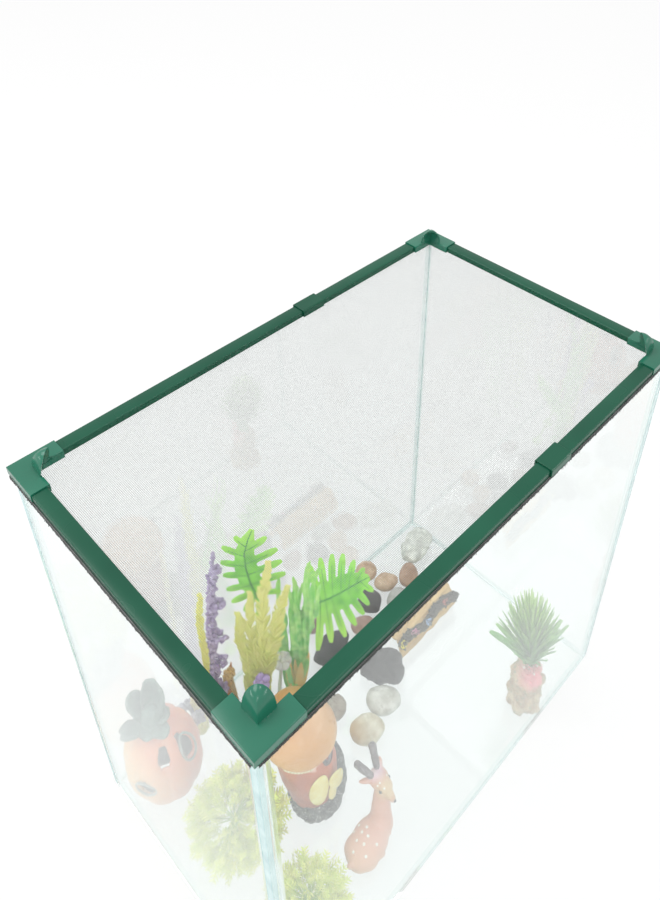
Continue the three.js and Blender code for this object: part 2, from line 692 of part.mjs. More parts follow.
// Half of a hollow log lying along X, open at both ends, with a twig garland cast along its front.
function logTunnel() {
  const { length, depth, height, wall, swell, garland } = log;
  const half = (r, h) => arc([0, 0], 1, 0, Math.PI, 12).map(([y, z]) => [y * r, z * h]);
  const rim = [...half(depth / 2, height), ...half(depth / 2 - wall, height - wall).reverse()];
  const stations = swell.map((factor, i) => (y) => [(length * i) / (swell.length - 1), y * factor]);
  const knots = 7;
  const path = Array.from({ length: knots }, (_, i) => {
    const around = garland.around + garland.wave * Math.sin(i * 1.9);
    const y = -(depth / 2 + garland.proud) * Math.cos(around);
    const z = (height + garland.proud) * Math.sin(around);
    return vector([(length * i) / (knots - 1), y, z]);
  });
  const outline = arc([0, 0], garland.thick, 0, Math.PI * 2, 6).slice(0, 6);
  const twig = new THREE.ExtrudeGeometry(new THREE.Shape(outline.map(([x, y]) => new THREE.Vector2(x, y))), {
    steps: 18, bevelEnabled: false, extrudePath: new THREE.CatmullRomCurve3(path),
  });
  return join(sweep(rim, stations), twig);
}

// A fawn lying down with its legs folded, facing +X with its head turned to its right.
function lyingFawn() {
  const limb = (from, to, radius, detail = 0) => {
    const axis = vector(to).sub(vector(from));
    const middle = vector(from).add(vector(to)).multiplyScalar(0.5);
    const half = axis.length() / 2 + radius * 0.6;
    const rod = new THREE.IcosahedronGeometry(1, detail).scale(radius, radius, half);
    rod.applyQuaternion(new THREE.Quaternion().setFromUnitVectors(up, axis.normalize()));
    return rod.translate(middle.x, middle.y, middle.z);
  };
  return join(
    ball([-3, 0, 13], [24, 15, 13], 2),
    ball([-11, 1, 12], [14, 15.5, 12]),
    ball([14, -1, 15], [12, 11, 13]),
    limb([18, 0, 20], [26, 5, 42], 8.5, 1),
    ball([28.3, 9.5, 51], [9, 9.5, 9]),
    limb([27.5, 5, 49], [25, -5, 42], 4.8, 1),
    limb([24, 13, 54], [17.5, 21, 54], 2.8),
    limb([34, 11, 54], [41, 16, 60], 2.8),
    limb([25, 14, 55], [20, 26, 72], 3.4),
    limb([32, 13, 55], [39.5, 23, 74], 3.4),
    limb([14, -6, 8], [24, -12, 4], 4),
    limb([16, 4, 8], [29, 2, 4], 4),
    limb([-12, -8, 9], [3, -15, 5], 4.6),
    limb([-21, 0, 13], [-27, 3, 18], 3.4),
  );
}

function place(name, geometry, material, [x, y], turn = 0) {
  const mesh = add(name, geometry, material);
  mesh.position.set(x, y, floorTop);
  mesh.rotation.z = THREE.MathUtils.degToRad(turn);
}

function tuftRock() {
  return modulated(
    turned(tuft.rock, 18),
    (angle, z) => 1 + 0.05 * Math.sin(3 * angle + z / 9) - 0.04 * Math.cos(5 * angle - z / 6),
  );
}

function buildOrnaments() {
  place('mushroom_hut', mushroomHut(), tanResin, hut.at);
  place('pumpkin_hide', pumpkinHide(), orangeResin, pumpkin.at);
  place('log_tunnel', logTunnel(), barkResin, log.at);
  place('lying_fawn', lyingFawn(), paleResin, fawn.at, fawn.turn);
  place('tuft_rock', tuftRock(), roughStone, tuft.at);
  for (const { name, at, size, turn, phase, color } of pebbles) {
    const large = size[2] > 22;
    place(name, pebble(size, phase, large ? 3 : 2), finish(color, 0.6), at, turn);
  }
}

// A spike of knotted florets that leans a little as it rises.
function floretSpike() {
  const { height, knots, radius, swell, lean } = spike;
  const profile = Array.from({ length: knots }, (_, i) => {
    const share = i / knots;
    return [(radius + swell * Math.sin(i * 2.1)) * (1 - share ** 3), 2 + (height - 2) * share];
  });
  return leaned(turned([[0, 2], ...profile, [0, height]], 9), lean, height, 2);
}

// Most fronds turn their flat side to the front left corner.
const facing = vector([0.69, -0.72, 0]);

function frond({ from, to, width, foot }) {
  const curve = bowed([from[0], from[1], foot.height / 2], to, [0, 0, to[2] * 0.08]);
  return blade(curve, spearhead(width), width * 0.22, facing, 5);
}

function buildPlants() {
  const foot = { radius: 9, height: 5 };
  const smallFoot = { radius: 6, height: 4 };
  const spikePlant = join(puck(foot.radius, foot.height), floretSpike());
  place('purple_spike_plant', spikePlant, purpleFlower, spike.at);
  const small = frond({ from: [0, 0], to: [7, -4, 210], width: 10, foot: smallFoot });
  place('lime_frond_small', plant(smallFoot, [small]), limeGreen, [-116, 99]);
  const limeFronds = [
    { from: [0, 0], to: [16, -16, 240], width: 19 },
    { from: [3, -3], to: [26, -27, 208], width: 16 },
    { from: [-3, 3], to: [-5, 6, 167], width: 11 },
    { from: [2, 4], to: [12, -2, 150], width: 10 },
  ].map((shape) => frond({ ...shape, foot }));
  place('lime_frond_plant', plant(foot, limeFronds), limeGreen, [-74, 72]);
  const ribbons = [
    { from: [0, 0], to: [4, -5, 190], width: 10 },
    { from: [3, -2], to: [13, -15, 201], width: 9 },
    { from: [-3, 2], to: [-6, 4, 178], width: 9 },
    { from: [2, 3], to: [8, -4, 170], width: 8 },
  ].map((shape) => frond({ ...shape, foot }));
  place('ribbon_plant', plant(foot, ribbons), deepGreen, [-35, 63]);
  for (const [name, shape, at] of [
    ['split_leaf_plant_left', leftLeaf, [-54, 90]], ['split_leaf_plant_right', rightLeaf, [-16, 82]],
  ]) {
    place(name, plant(smallFoot, splitLeaf(shape)), leafGreen, at);
  }
  place('bush_left', grassPlant({
    count: 18, spread: 38, height: 76, width: 11, foot: { radius: 12, height: 6 }, steps: 3,
  }), limeGreen, [-152, 0]);
  place('bush_front', grassPlant({
    count: 16, spread: 33, height: 56, width: 10, foot: { radius: 11, height: 6 }, steps: 3,
  }), limeGreen, [-141, -73]);
  const { count, spread, height, width, lean, rock } = tuft;
  const grass = grassPlant({ count, spread, height, width, foot: smallFoot, lean, steps: 3 });
  const rockTop = rock[rock.length - 1][1];
  place('tuft_grass', grass.translate(0, 0, rockTop + clear), deepGreen, tuft.at);
}

buildTank();
buildLid();
buildOrnaments();
buildPlants();

export default cage;
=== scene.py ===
import random
from math import atan2, cos, degrees, hypot, pi, radians, sin, sqrt, tau

import bmesh
import bpy
import mathutils.bvhtree
from mathutils import Matrix, Vector, noise


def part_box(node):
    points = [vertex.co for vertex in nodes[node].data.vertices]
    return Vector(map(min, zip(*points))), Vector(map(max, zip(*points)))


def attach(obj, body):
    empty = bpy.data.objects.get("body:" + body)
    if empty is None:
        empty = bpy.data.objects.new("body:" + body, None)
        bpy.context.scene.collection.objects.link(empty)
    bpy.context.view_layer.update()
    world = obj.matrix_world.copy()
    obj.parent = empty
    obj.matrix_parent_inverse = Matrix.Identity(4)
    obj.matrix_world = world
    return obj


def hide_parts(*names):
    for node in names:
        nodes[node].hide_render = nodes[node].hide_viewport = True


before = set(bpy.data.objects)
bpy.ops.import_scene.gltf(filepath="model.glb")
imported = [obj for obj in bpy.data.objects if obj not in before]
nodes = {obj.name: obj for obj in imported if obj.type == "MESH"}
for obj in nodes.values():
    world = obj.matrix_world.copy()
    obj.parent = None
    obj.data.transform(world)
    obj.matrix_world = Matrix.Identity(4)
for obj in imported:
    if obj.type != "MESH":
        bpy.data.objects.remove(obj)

scene = bpy.context.scene
scene.view_settings.view_transform = "Standard"
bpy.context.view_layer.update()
mm = 0.001


# Node tree helpers

def addNode(tree, kind, settings=None, **values):
    node = tree.nodes.new("ShaderNode" + kind)
    for name, value in (settings or {}).items():
        setattr(node, name, value)
    for name, value in values.items():
        setSocket(tree, node, name.replace("_", " "), value)
    return node


def setSocket(tree, node, name, value):
    socket = node.inputs[int(name[1:])] if name[0] == "i" and name[1:].isdigit() else node.inputs[name]
    if isinstance(value, bpy.types.NodeSocket):
        tree.links.new(value, socket)
    else:
        socket.default_value = value


def colour(red, green, blue):
    return (red, green, blue, 1)


def newMaterial(name, **values):
    material = bpy.data.materials.new(name)
    material.use_nodes = True
    tree = material.node_tree
    tree.nodes.clear()
    shader = addNode(tree, "BsdfPrincipled", **values)
    out = addNode(tree, "OutputMaterial", Surface=shader.outputs["BSDF"])
    return material, tree, shader, out


def ramp(tree, factor, *stops):
    node = addNode(tree, "ValToRGB", Fac=factor)
    marks = node.color_ramp.elements
    while len(marks) < len(stops):
        marks.new(0.5)
    for mark, (position, shade) in zip(marks, stops):
        mark.position = position
        mark.color = shade
    return node.outputs["Color"]


def mixColour(tree, factor, first, second, blend="MIX"):
    node = addNode(tree, "Mix", {"data_type": "RGBA", "blend_type": blend})
    setSocket(tree, node, "i0", factor)
    setSocket(tree, node, "i6", first)
    setSocket(tree, node, "i7", second)
    return node.outputs[2]


def mathNode(tree, operation, first, second=0.0, third=None):
    node = addNode(tree, "Math", {"operation": operation}, i0=first, i1=second)
    if third is not None:
        setSocket(tree, node, "i2", third)
    return node.outputs[0]


def bumpFrom(tree, shader, height, strength, distance):
    bump = addNode(tree, "Bump", Height=height, Strength=strength, Distance=distance)
    tree.links.new(bump.outputs["Normal"], shader.inputs["Normal"])


def newGroup(name, inputs, outputs):
    group = bpy.data.node_groups.new(name, "ShaderNodeTree")
    for label, value in inputs.items():
        socket = group.interface.new_socket(label, in_out="INPUT", socket_type="NodeSocketFloat")
        socket.default_value = value
    for label in outputs:
        group.interface.new_socket(label, in_out="OUTPUT", socket_type="NodeSocketFloat")
    start = group.nodes.new("NodeGroupInput")
    end = group.nodes.new("NodeGroupOutput")
    return group, start.outputs, end.inputs


def useGroup(tree, group, **values):
    node = tree.nodes.new("ShaderNodeGroup")
    node.node_tree = group
    for name, value in values.items():
        setSocket(tree, node, name.replace("_", " "), value)
    return node.outputs


# The point being shaded, in its piece's own coordinates
def ownPlace(tree):
    return addNode(tree, "TexCoord").outputs["Object"]


# Fine moulded grain: a slow mottle for colour and gloss, and a fine height
def makeGrainGroup():
    group, given, made = newGroup("grain", {"Scale": 900.0, "Spread": 12.0}, ["Mottle", "Height"])
    place = ownPlace(group)
    slow = addNode(group, "TexNoise", Vector=place, Scale=given["Spread"], Detail=3.0)
    fine = addNode(group, "TexNoise", Vector=place, Scale=given["Scale"], Detail=4.0, Roughness=0.6)
    group.links.new(slow.outputs[0], made["Mottle"])
    group.links.new(fine.outputs[0], made["Height"])
    return group


# Random pale specks and dark pits, for stone and cast resin
def makeSpeckGroup():
    group, given, made = newGroup("specks", {"Scale": 600.0, "Amount": 0.2}, ["Specks", "Height"])
    cells = addNode(group, "TexVoronoi", Vector=ownPlace(group), Scale=given["Scale"])
    tone = addNode(group, "SeparateColor", Color=cells.outputs["Color"]).outputs[0]
    chosen = mathNode(group, "LESS_THAN", tone, given["Amount"])
    near = mathNode(group, "LESS_THAN", cells.outputs["Distance"], 0.42)
    specks = mathNode(group, "MULTIPLY", chosen, near)
    group.links.new(specks, made["Specks"])
    group.links.new(cells.outputs["Distance"], made["Height"])
    return group


grain = makeGrainGroup()
specks = makeSpeckGroup()


# A share of low..high of a value, made first..last
def mapped(tree, value, low, high, first, last):
    return addNode(tree, "MapRange", Value=value, i1=low, i2=high, i3=first, i4=last).outputs[0]


# Two tones in slow patches under a fine grain. stops: where the tones sit in the grain's mottle
def grained(name, dark, light, fine, spread, bump, depth, stops=(0.3, 0.7), **values):
    material, tree, shader = newMaterial(name, **values)[:3]
    tone = useGroup(tree, grain, Scale=fine, Spread=spread)
    shade = ramp(tree, tone["Mottle"], (stops[0], colour(*dark)), (stops[1], colour(*light)))
    tree.links.new(shade, shader.inputs["Base Color"])
    bumpFrom(tree, shader, tone["Height"], bump, depth * mm)
    return material, tree, shader, tone


# Mesh helpers

weldGap = 0.02 * mm  # vertices closer than this become one


def weld(bm, gap=weldGap):
    bmesh.ops.remove_doubles(bm, verts=bm.verts, dist=gap)


def faceOut(bm):
    bmesh.ops.recalc_face_normals(bm, faces=bm.faces)


def meshFrom(bm, name="pattern"):
    mesh = bpy.data.meshes.new(name)
    bm.to_mesh(mesh)
    bm.free()
    return mesh


def addModifier(piece, kind, **settings):
    modifier = piece.modifiers.new(kind.lower(), kind)
    for name, value in settings.items():
        setattr(modifier, name, value)


def paint(mesh, *materials):
    mesh.materials.clear()
    for material in materials:
        mesh.materials.append(material)


def shown(name, data):
    piece = bpy.data.objects.new(name, data)
    scene.collection.objects.link(piece)
    return piece


def finishPiece(name, mesh, material, stands=(), body="tank", smooth=True):
    piece = shown(name, mesh)
    paint(mesh, material)
    mesh.polygons.foreach_set("use_smooth", [smooth] * len(mesh.polygons))
    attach(piece, body)
    if stands:
        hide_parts(*stands)
    return piece


# thick: a wall in mm, laid inwards when side is -1 and both ways when it is 0. levels: rounds of smoothing.
# inside: 1 gives the wall's inner face the piece's second material
def pieceFromBm(name, bm, material, stands=(), body="tank", smooth=True, doubles=weldGap, thick=0, side=0,
                levels=0, inside=0):
    weld(bm, doubles)
    faceOut(bm)
    piece = finishPiece(name, meshFrom(bm, name), material, stands, body, smooth)
    if thick:
        addModifier(piece, "SOLIDIFY", thickness=thick * mm, offset=side, material_offset=inside)
    if levels:
        addModifier(piece, "SUBSURF", levels=levels, render_levels=levels)
    return piece


# Camera

view = {"place": (-0.29596, -0.27898, 0.79543), "azimuth": -46.19, "elevation": 32.95, "roll": 0.75,
        "lens": 32.157, "shiftX": -0.04269, "shiftY": -0.22230}


def makeCamera():
    data = bpy.data.cameras.new("camera")
    camera = shown("camera", data)
    turn, tilt, roll = [radians(view[k]) for k in ("azimuth", "elevation", "roll")]
    back = Vector((sin(turn) * cos(tilt), -cos(turn) * cos(tilt), sin(tilt)))
    level = Vector((cos(turn), sin(turn), 0))
    upright = back.cross(level)
    right = level * cos(roll) + upright * sin(roll)
    top = upright * cos(roll) - level * sin(roll)
    camera.matrix_world = Matrix((right, top, back)).transposed().to_4x4()
    camera.location = view["place"]
    data.sensor_width = 36
    data.lens = view["lens"]
    data.shift_x = view["shiftX"]
    data.shift_y = view["shiftY"]
    data.clip_start = 0.01
    scene.camera = camera


# Stage: a seamless white floor, a white surround and soft lamps

stage = {"floorSize": 14, "floorDepth": 0.4 * mm, "floorBrightness": 0.8, "surround": 0.85}
# the two strips are long and thin: they draw the highlight line on the shoulders of the rails
lamps = {
    "keyLamp": {"place": (-0.9, 0.9, 2.3), "aim": (0, 0, 0.3), "size": (1.6, 1.6), "power": 24},
    "frontLamp": {"place": (-1.6, -1.9, 1.9), "aim": (0, 0, 0.2), "size": (1.2, 1.2), "power": 14},
    "smallLamp": {"place": (0.5, -0.5, 2.6), "aim": (0, 0, 0.4), "size": (0.35, 0.35), "power": 5},
    "leftStrip": {"place": (-2.05, 1.1, 0.86), "aim": (-0.2, 0, 0.4), "size": (1.2, 0.12), "power": 6},
    "rightStrip": {"place": (1.17, -1.86, 1.06), "aim": (0, -0.12, 0.4), "size": (1.3, 0.12), "power": 6},
}


def whiteToTheEye(tree):
    path = addNode(tree, "LightPath").outputs
    seen = mathNode(tree, "MAXIMUM", path["Is Camera Ray"], path["Is Glossy Ray"])
    return mathNode(tree, "MAXIMUM", seen, path["Is Transmission Ray"])


def makeStage():
    bm = bmesh.new()
    bmesh.ops.create_grid(bm, x_segments=4, y_segments=4, size=stage["floorSize"] / 2,
                          matrix=Matrix.Translation((0, 0, -stage["floorDepth"])))
    floor = shown("floor", meshFrom(bm, "floor"))
    material, tree, shader, out = newMaterial("paleFloor", Base_Color=colour(0.9, 0.9, 0.9), Roughness=0.6)
    glow = addNode(tree, "Emission", Color=colour(1, 1, 1), Strength=1.0)
    share = mathNode(tree, "MULTIPLY", whiteToTheEye(tree), stage["floorBrightness"])
    blend = addNode(tree, "MixShader", Fac=share, i1=shader.outputs[0], i2=glow.outputs[0])
    tree.links.new(blend.outputs[0], out.inputs["Surface"])
    paint(floor.data, material)

    world = bpy.data.worlds.new("surround")
    scene.world = world
    world.use_nodes = True
    tree = world.node_tree
    tree.nodes.clear()
    seen = whiteToTheEye(tree)
    level = mathNode(tree, "MULTIPLY_ADD", seen, 1.0 - stage["surround"], stage["surround"])
    sky = addNode(tree, "Background", Color=colour(1, 1, 1), Strength=level)
    addNode(tree, "OutputWorld", Surface=sky.outputs[0])

    for name, lamp in lamps.items():
        data = bpy.data.lights.new(name, "AREA")
        data.shape = "ELLIPSE"
        data.size, data.size_y = lamp["size"]
        data.energy = lamp["power"]
        light = shown(name, data)
        light.location = lamp["place"]
        light.rotation_euler = (Vector(lamp["place"]) - Vector(lamp["aim"])).to_track_quat("Z", "Y").to_euler()


# Tank

glass = {"tint": (0.985, 1.0, 0.995), "index": 1.52, "depthTint": (0.75, 0.96, 0.93), "density": 6.0,
         "shade": (0.94, 0.97, 0.965), "smudge": 0.012, "trapped": (0.72, 0.87, 0.86), "bounces": 2.5,
         "longHalf": 200 * mm, "shortHalf": 114.7 * mm}
groundEnd = {"depth": 0.4 * mm, "dark": (0.32, 0.5, 0.51), "light": (0.58, 0.75, 0.75), "rough": 0.25,
             "streaks": 60.0, "share": 0.7}
bead = {"index": 1.12, "clear": 0.96, "rough": 0.1, "dark": (0.88, 0.94, 0.935), "light": (0.95, 0.98, 0.975),
        "ripple": 0.2}


# Where the rays of a share go straight on through a surface, tinted
def letThrough(tree, surface, share, tint):
    clear = addNode(tree, "BsdfTransparent", Color=colour(*tint))
    return addNode(tree, "MixShader", Fac=share, i1=surface, i2=clear.outputs[0]).outputs[0]


# Shadow and diffuse rays, and light caught inside a pane, which would come out black
def strayRays(tree):
    path = addNode(tree, "LightPath").outputs
    unseen = mathNode(tree, "MAXIMUM", path["Is Shadow Ray"], path["Is Diffuse Ray"])
    return unseen, mathNode(tree, "GREATER_THAN", path["Glossy Depth"], glass["bounces"])


# axis and half: where the pane's two ground ends lie, in the pane's own coordinates
def makeGlass(name, axis, half):
    material, tree, shader, out = newMaterial(
        name, Base_Color=colour(*glass["tint"]), IOR=glass["index"], Transmission_Weight=1.0)
    tone = useGroup(tree, grain, Scale=30.0, Spread=9.0)
    tree.links.new(mapped(tree, tone["Mottle"], 0.5, 0.8, 0.0, glass["smudge"]), shader.inputs["Roughness"])
    place = ownPlace(tree)
    across = addNode(tree, "SeparateXYZ", Vector=place).outputs[axis]
    ending = mathNode(tree, "GREATER_THAN", mathNode(tree, "ABSOLUTE", across), half - groundEnd["depth"])
    streaks = addNode(tree, "TexNoise", Vector=place, Scale=groundEnd["streaks"], Detail=3.0)
    ground = addNode(tree, "BsdfPrincipled", Roughness=groundEnd["rough"])
    shade = ramp(tree, streaks.outputs[0], (0.3, colour(*groundEnd["dark"])), (0.7, colour(*groundEnd["light"])))
    tree.links.new(shade, ground.inputs["Base Color"])
    worked = mathNode(tree, "MULTIPLY", ending, groundEnd["share"])
    pane = addNode(tree, "MixShader", Fac=worked, i1=shader.outputs[0], i2=ground.outputs[0])
    unseen, trapped = strayRays(tree)
    both = letThrough(tree, pane.outputs[0], unseen, glass["shade"])
    tree.links.new(letThrough(tree, both, trapped, glass["trapped"]), out.inputs["Surface"])
    body = addNode(tree, "VolumeAbsorption", Color=colour(*glass["depthTint"]), Density=glass["density"])
    tree.links.new(body.outputs[0], out.inputs["Volume"])
    return material


def makeSilicone():
    material, tree, shader, out = newMaterial("silicone", Roughness=bead["rough"], IOR=bead["index"],
                                              Transmission_Weight=bead["clear"])
    tone = useGroup(tree, grain, Scale=220.0, Spread=60.0)
    shade = ramp(tree, tone["Mottle"], (0.3, colour(*bead["dark"])), (0.7, colour(*bead["light"])))
    tree.links.new(shade, shader.inputs["Base Color"])
    bumpFrom(tree, shader, tone["Mottle"], bead["ripple"], 0.2 * mm)
    rays = mathNode(tree, "MAXIMUM", *strayRays(tree))
    tree.links.new(letThrough(tree, shader.outputs[0], rays, glass["shade"]), out.inputs["Surface"])
    return material


def dressTank():
    longGlass = makeGlass("longGlass", 0, glass["longHalf"])
    shortGlass = makeGlass("shortGlass", 1, glass["shortHalf"])
    silicone = makeSilicone()
    for name in nodes:
        if name.endswith("_glass"):
            paint(nodes[name].data, shortGlass if name.startswith(("left", "right")) else longGlass)
        elif "silicone_bead" in name:
            paint(nodes[name].data, silicone)


# Lid frame: the rails, corner mouldings and joiners with softened edges

frameFinish = {
    "rail": {"deep": (0.0045, 0.062, 0.034), "light": (0.008, 0.096, 0.052), "shine": 0.3, "rough": 0.26},
    "corner": {"deep": (0.012, 0.12, 0.072), "light": (0.017, 0.165, 0.102), "shine": 0.5, "rough": 0.22},
    "edge": 0.28 * mm, "edgeAngle": radians(35), "grain": 0.12,
}


def makeGreenPlastic(kind):
    finish = frameFinish[kind]
    material, tree, shader, tone = grained(
        kind + "Plastic", finish["deep"], finish["light"], 1400.0, 14.0, frameFinish["grain"], 0.05, (0.25, 0.75),
        Specular_IOR_Level=finish["shine"], IOR=1.5)
    gloss = mapped(tree, tone["Mottle"], 0.2, 0.8, finish["rough"] - 0.05, finish["rough"] + 0.08)
    tree.links.new(gloss, shader.inputs["Roughness"])
    return material


def softenedCopy(name, material):
    bm = bmesh.new()
    bm.from_mesh(nodes[name].data)
    weld(bm, 0.01 * mm)
    bmesh.ops.dissolve_limit(bm, angle_limit=radians(1), verts=bm.verts, edges=bm.edges)
    piece = finishPiece(name + "_soft", meshFrom(bm, name + "_soft"), material, [name], "lid")
    piece.data.set_sharp_from_angle(angle=frameFinish["edgeAngle"])
    addModifier(piece, "BEVEL", width=frameFinish["edge"], segments=2, limit_method="ANGLE",
                angle_limit=frameFinish["edgeAngle"], harden_normals=False, use_clamp_overlap=True)


def dressLidFrame():
    railGreen, cornerGreen = makeGreenPlastic("rail"), makeGreenPlastic("corner")
    for name in nodes:
        if name.startswith(("rail_", "joiner_")):
            softenedCopy(name, railGreen)
        elif name.startswith("corner_"):
            softenedCopy(name, cornerGreen)


# Screen: two layers of straight crossing wires with a frayed edge outside the rails

screen = {"pitch": 1.06 * mm, "wire": 0.095 * mm, "lift": 0.4 * mm, "step": 0.05 * mm,
          "fray": 0.5 * mm, "corner": 3.2 * mm, "tones": ((0.26, 0.265, 0.26), (0.4, 0.4, 0.39))}
wireGrain = {"fine": 2500.0, "spread": 300.0, "stops": (0.3, 0.8)}


def addWire(bm, start, end, radius):
    along = end - start
    turn = along.to_track_quat("Z", "Y").to_matrix().to_4x4()
    place = Matrix.Translation((start + end) / 2) @ turn
    bmesh.ops.create_cone(bm, cap_ends=True, segments=4, radius1=radius, radius2=radius,
                          depth=along.length, matrix=place)


def makeScreen():
    low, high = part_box("mesh_screen")
    rnd = random.Random(4)
    level = low.z + screen["lift"]
    bm = bmesh.new()
    for axis in (0, 1):
        across = 1 - axis
        height = level + (screen["step"] if axis else -screen["step"])
        count = int((high[across] - low[across]) / screen["pitch"])
        offset = ((high[across] - low[across]) - (count - 1) * screen["pitch"]) / 2
        for i in range(count):
            side = low[across] + offset + i * screen["pitch"]
            inset = max(0, screen["corner"] - min(side - low[across], high[across] - side))
            start, end = Vector((0, 0, height)), Vector((0, 0, height))
            start[across] = end[across] = side
            start[axis] = low[axis] + inset + rnd.random() * screen["fray"]
            end[axis] = high[axis] - inset - rnd.random() * screen["fray"]
            addWire(bm, start, end, screen["wire"])
    wire = grained("screenWire", *screen["tones"], **wireGrain, bump=0.2, depth=0.02, Roughness=0.45)[0]
    pieceFromBm("screen_wires", bm, wire, ["mesh_screen"], "lid", False, 0)


# The folded cut edge of the screen: a dark band just outside the rails, jagged below, and loose ends. Its near-black
# tones are painted shade: the grey screen wire lying in the rails' shadow there
fringe = {"overhang": 2.9, "rows": [(1.0, 0.75), (2.3, 0.6), (2.6, 0.0)], "tooth": 0.7, "jag": (0.1, 1.3),
          "hairGap": 1.5, "hairRoot": 2.4, "hairTip": (1.6, 2.75), "droop": (1.2, 2.6), "hairRadius": 0.12,
          "tones": ((0.006, 0.008, 0.007), (0.03, 0.036, 0.033))}


def makeFringe():
    low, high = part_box("mesh_screen")
    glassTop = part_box("front_glass")[1].z
    rnd = random.Random(8)
    bm = bmesh.new()
    for axis in (0, 1):
        across = 1 - axis
        first, last = low[axis] + screen["corner"], high[axis] - screen["corner"]
        teeth = int((last - first) / (fringe["tooth"] * mm))
        for hand, edge in ((-1, low[across]), (1, high[across])):
            face = edge - hand * fringe["overhang"] * mm  # the outside of the glass
            verts = bmesh.ops.create_grid(bm, x_segments=teeth, y_segments=2, size=1)["verts"]
            for vert in verts:
                along, row = (vert.co.x + 1) / 2, round(vert.co.y + 1)
                out, rise = fringe["rows"][row]
                if row == 2:
                    rise = -rnd.uniform(*fringe["jag"])
                vert.co.z = glassTop + rise * mm
                vert.co[axis] = first + (last - first) * along + rnd.uniform(-0.2, 0.2) * mm
                vert.co[across] = face + hand * (out + rnd.uniform(-0.15, 0.15)) * mm
            for i in range(int((last - first) / (fringe["hairGap"] * mm))):
                start, end = Vector((0, 0, glassTop)), Vector()
                start[axis] = first + (i + rnd.random()) * fringe["hairGap"] * mm
                end[axis] = start[axis] + rnd.uniform(-0.8, 0.8) * mm
                start[across] = face + hand * fringe["hairRoot"] * mm
                end[across] = face + hand * rnd.uniform(*fringe["hairTip"]) * mm
                end.z = glassTop - rnd.uniform(*fringe["droop"]) * mm
                addWire(bm, start, end, fringe["hairRadius"] * mm)
    # painted shade: the fringe wire is coloured near black for the rails' shadow, though the screen is grey
    wire = grained("cutWirePaintedShade", *fringe["tones"], **wireGrain, bump=0.4, depth=0.04, Roughness=0.5)[0]
    pieceFromBm("screen_fringe", bm, wire, (), "lid", False, 0, thick=0.1)


def dressSpline():
    rubber = grained("splineRubber", (0.006, 0.006, 0.006), (0.014, 0.014, 0.014), 900.0, 80.0, 0.3, 0.05,
                     Roughness=0.8)[0]
    paint(nodes["screen_spline"].data, rubber)


# Furnishings: shared shaping. Sizes are millimetres above the floor glass.

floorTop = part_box("mushroom_hut")[0].z / mm


def spot(x, y, z=0.0):
    return Vector((x, y, z + floorTop)) * mm


def around(angle, reach=1.0, z=0.0):
    return Vector((cos(angle) * reach, sin(angle) * reach, z))


def newVerts(bm, before):
    bm.verts.ensure_lookup_table()
    return bm.verts[before:]


# radii: one for each axis, or a single one
def ball(bm, place, radii, turn=0.0, fineness=3):
    sizes = radii if isinstance(radii, (list, tuple)) else [radii] * 3
    size = Matrix.Diagonal([r * mm for r in sizes] + [1])
    matrix = Matrix.Translation(place) @ Matrix.Rotation(radians(turn), 4, "Z") @ size
    return bmesh.ops.create_icosphere(bm, subdivisions=fineness, radius=1, matrix=matrix)["verts"]


def limb(bm, start, end, thick, thin, beads=8):
    for i in range(beads):
        share = i / (beads - 1)
        ball(bm, start.lerp(end, share), thick + (thin - thick) * share, fineness=2)


def spun(bm, profile, centre, steps=48):
    before = len(bm.verts)
    line = [bm.verts.new(centre + Vector((r, 0, z)) * mm) for r, z in profile]
    edges = [bm.edges.new(pair) for pair in zip(line, line[1:])]
    bmesh.ops.spin(bm, geom=line + edges, cent=centre, axis=(0, 0, 1), angle=tau, steps=steps,
                   use_merge=True)
    return newVerts(bm, before)


def tube(bm, path, sizes, rounds=1):
    curve = bpy.data.curves.new("run", "CURVE")
    curve.dimensions = "3D"
    curve.bevel_depth = mm
    curve.bevel_resolution = rounds
    curve.use_fill_caps = True
    run = curve.splines.new("POLY")
    run.points.add(len(path) - 1)
    for i, knot in enumerate(run.points):
        knot.co = (*path[i], 1)
        knot.radius = sizes[i] if isinstance(sizes, (list, tuple)) else sizes
    carrier = bpy.data.objects.new("run", curve)
    mesh = bpy.data.meshes.new_from_object(carrier)
    before = len(bm.verts)
    bm.from_mesh(mesh)
    bpy.data.objects.remove(carrier)
    bpy.data.curves.remove(curve)
    bpy.data.meshes.remove(mesh)
    return newVerts(bm, before)


# A flat strip laid along a path: widths in mm, cup raises its two edges
def strip(bm, path, widths, side, cup=0.0, across=2):
    rows = len(path) - 1
    verts = bmesh.ops.create_grid(bm, x_segments=across, y_segments=rows, size=1)["verts"]
    for vert in verts:
        row = round((vert.co.y + 1) / 2 * rows)
        slide = vert.co.x
        along = path[min(row + 1, rows)] - path[max(row - 1, 0)]
        lift = side.cross(along).normalized()
        level = along.cross(lift).normalized()
        vert.co = path[row] + (level * slide * widths[row] / 2 + lift * abs(slide) * cup) * mm
    return verts


def bowed(start, end, bow, steps=6):
    return [start.lerp(end, i / steps) + bow * sin(pi * i / steps) for i in range(steps + 1)]


# A single leaf from root to tip: its shape is its width at even steps, times width
def blade(bm, root, tip, bow, shape, width, side, cup=0.0, across=2):
    strip(bm, bowed(root, tip, bow, len(shape) - 1), [width * k for k in shape], side, cup, across)


# A point on the curve that leaves start towards bend and comes in to end
def curved(start, bend, end, t):
    return start * (1 - t) ** 2 + bend * 2 * t * (1 - t) + end * t * t


# Uneven surface: each layer is an amount and a size in mm, and a seed
def roughen(bm, *layers):
    for amount, size, seed in layers:
        bm.normal_update()
        shift = Vector((seed * 7.13, seed * 3.31, seed * 1.77))
        moves = [v.normal * noise.noise(v.co / (size * mm) + shift) * amount * mm for v in bm.verts]
        for vert, move in zip(bm.verts, moves):
            vert.co += move


# Nothing goes below the floor glass
def keepAbove(bm):
    for vert in bm.verts:
        vert.co.z = max(vert.co.z, floorTop * mm)


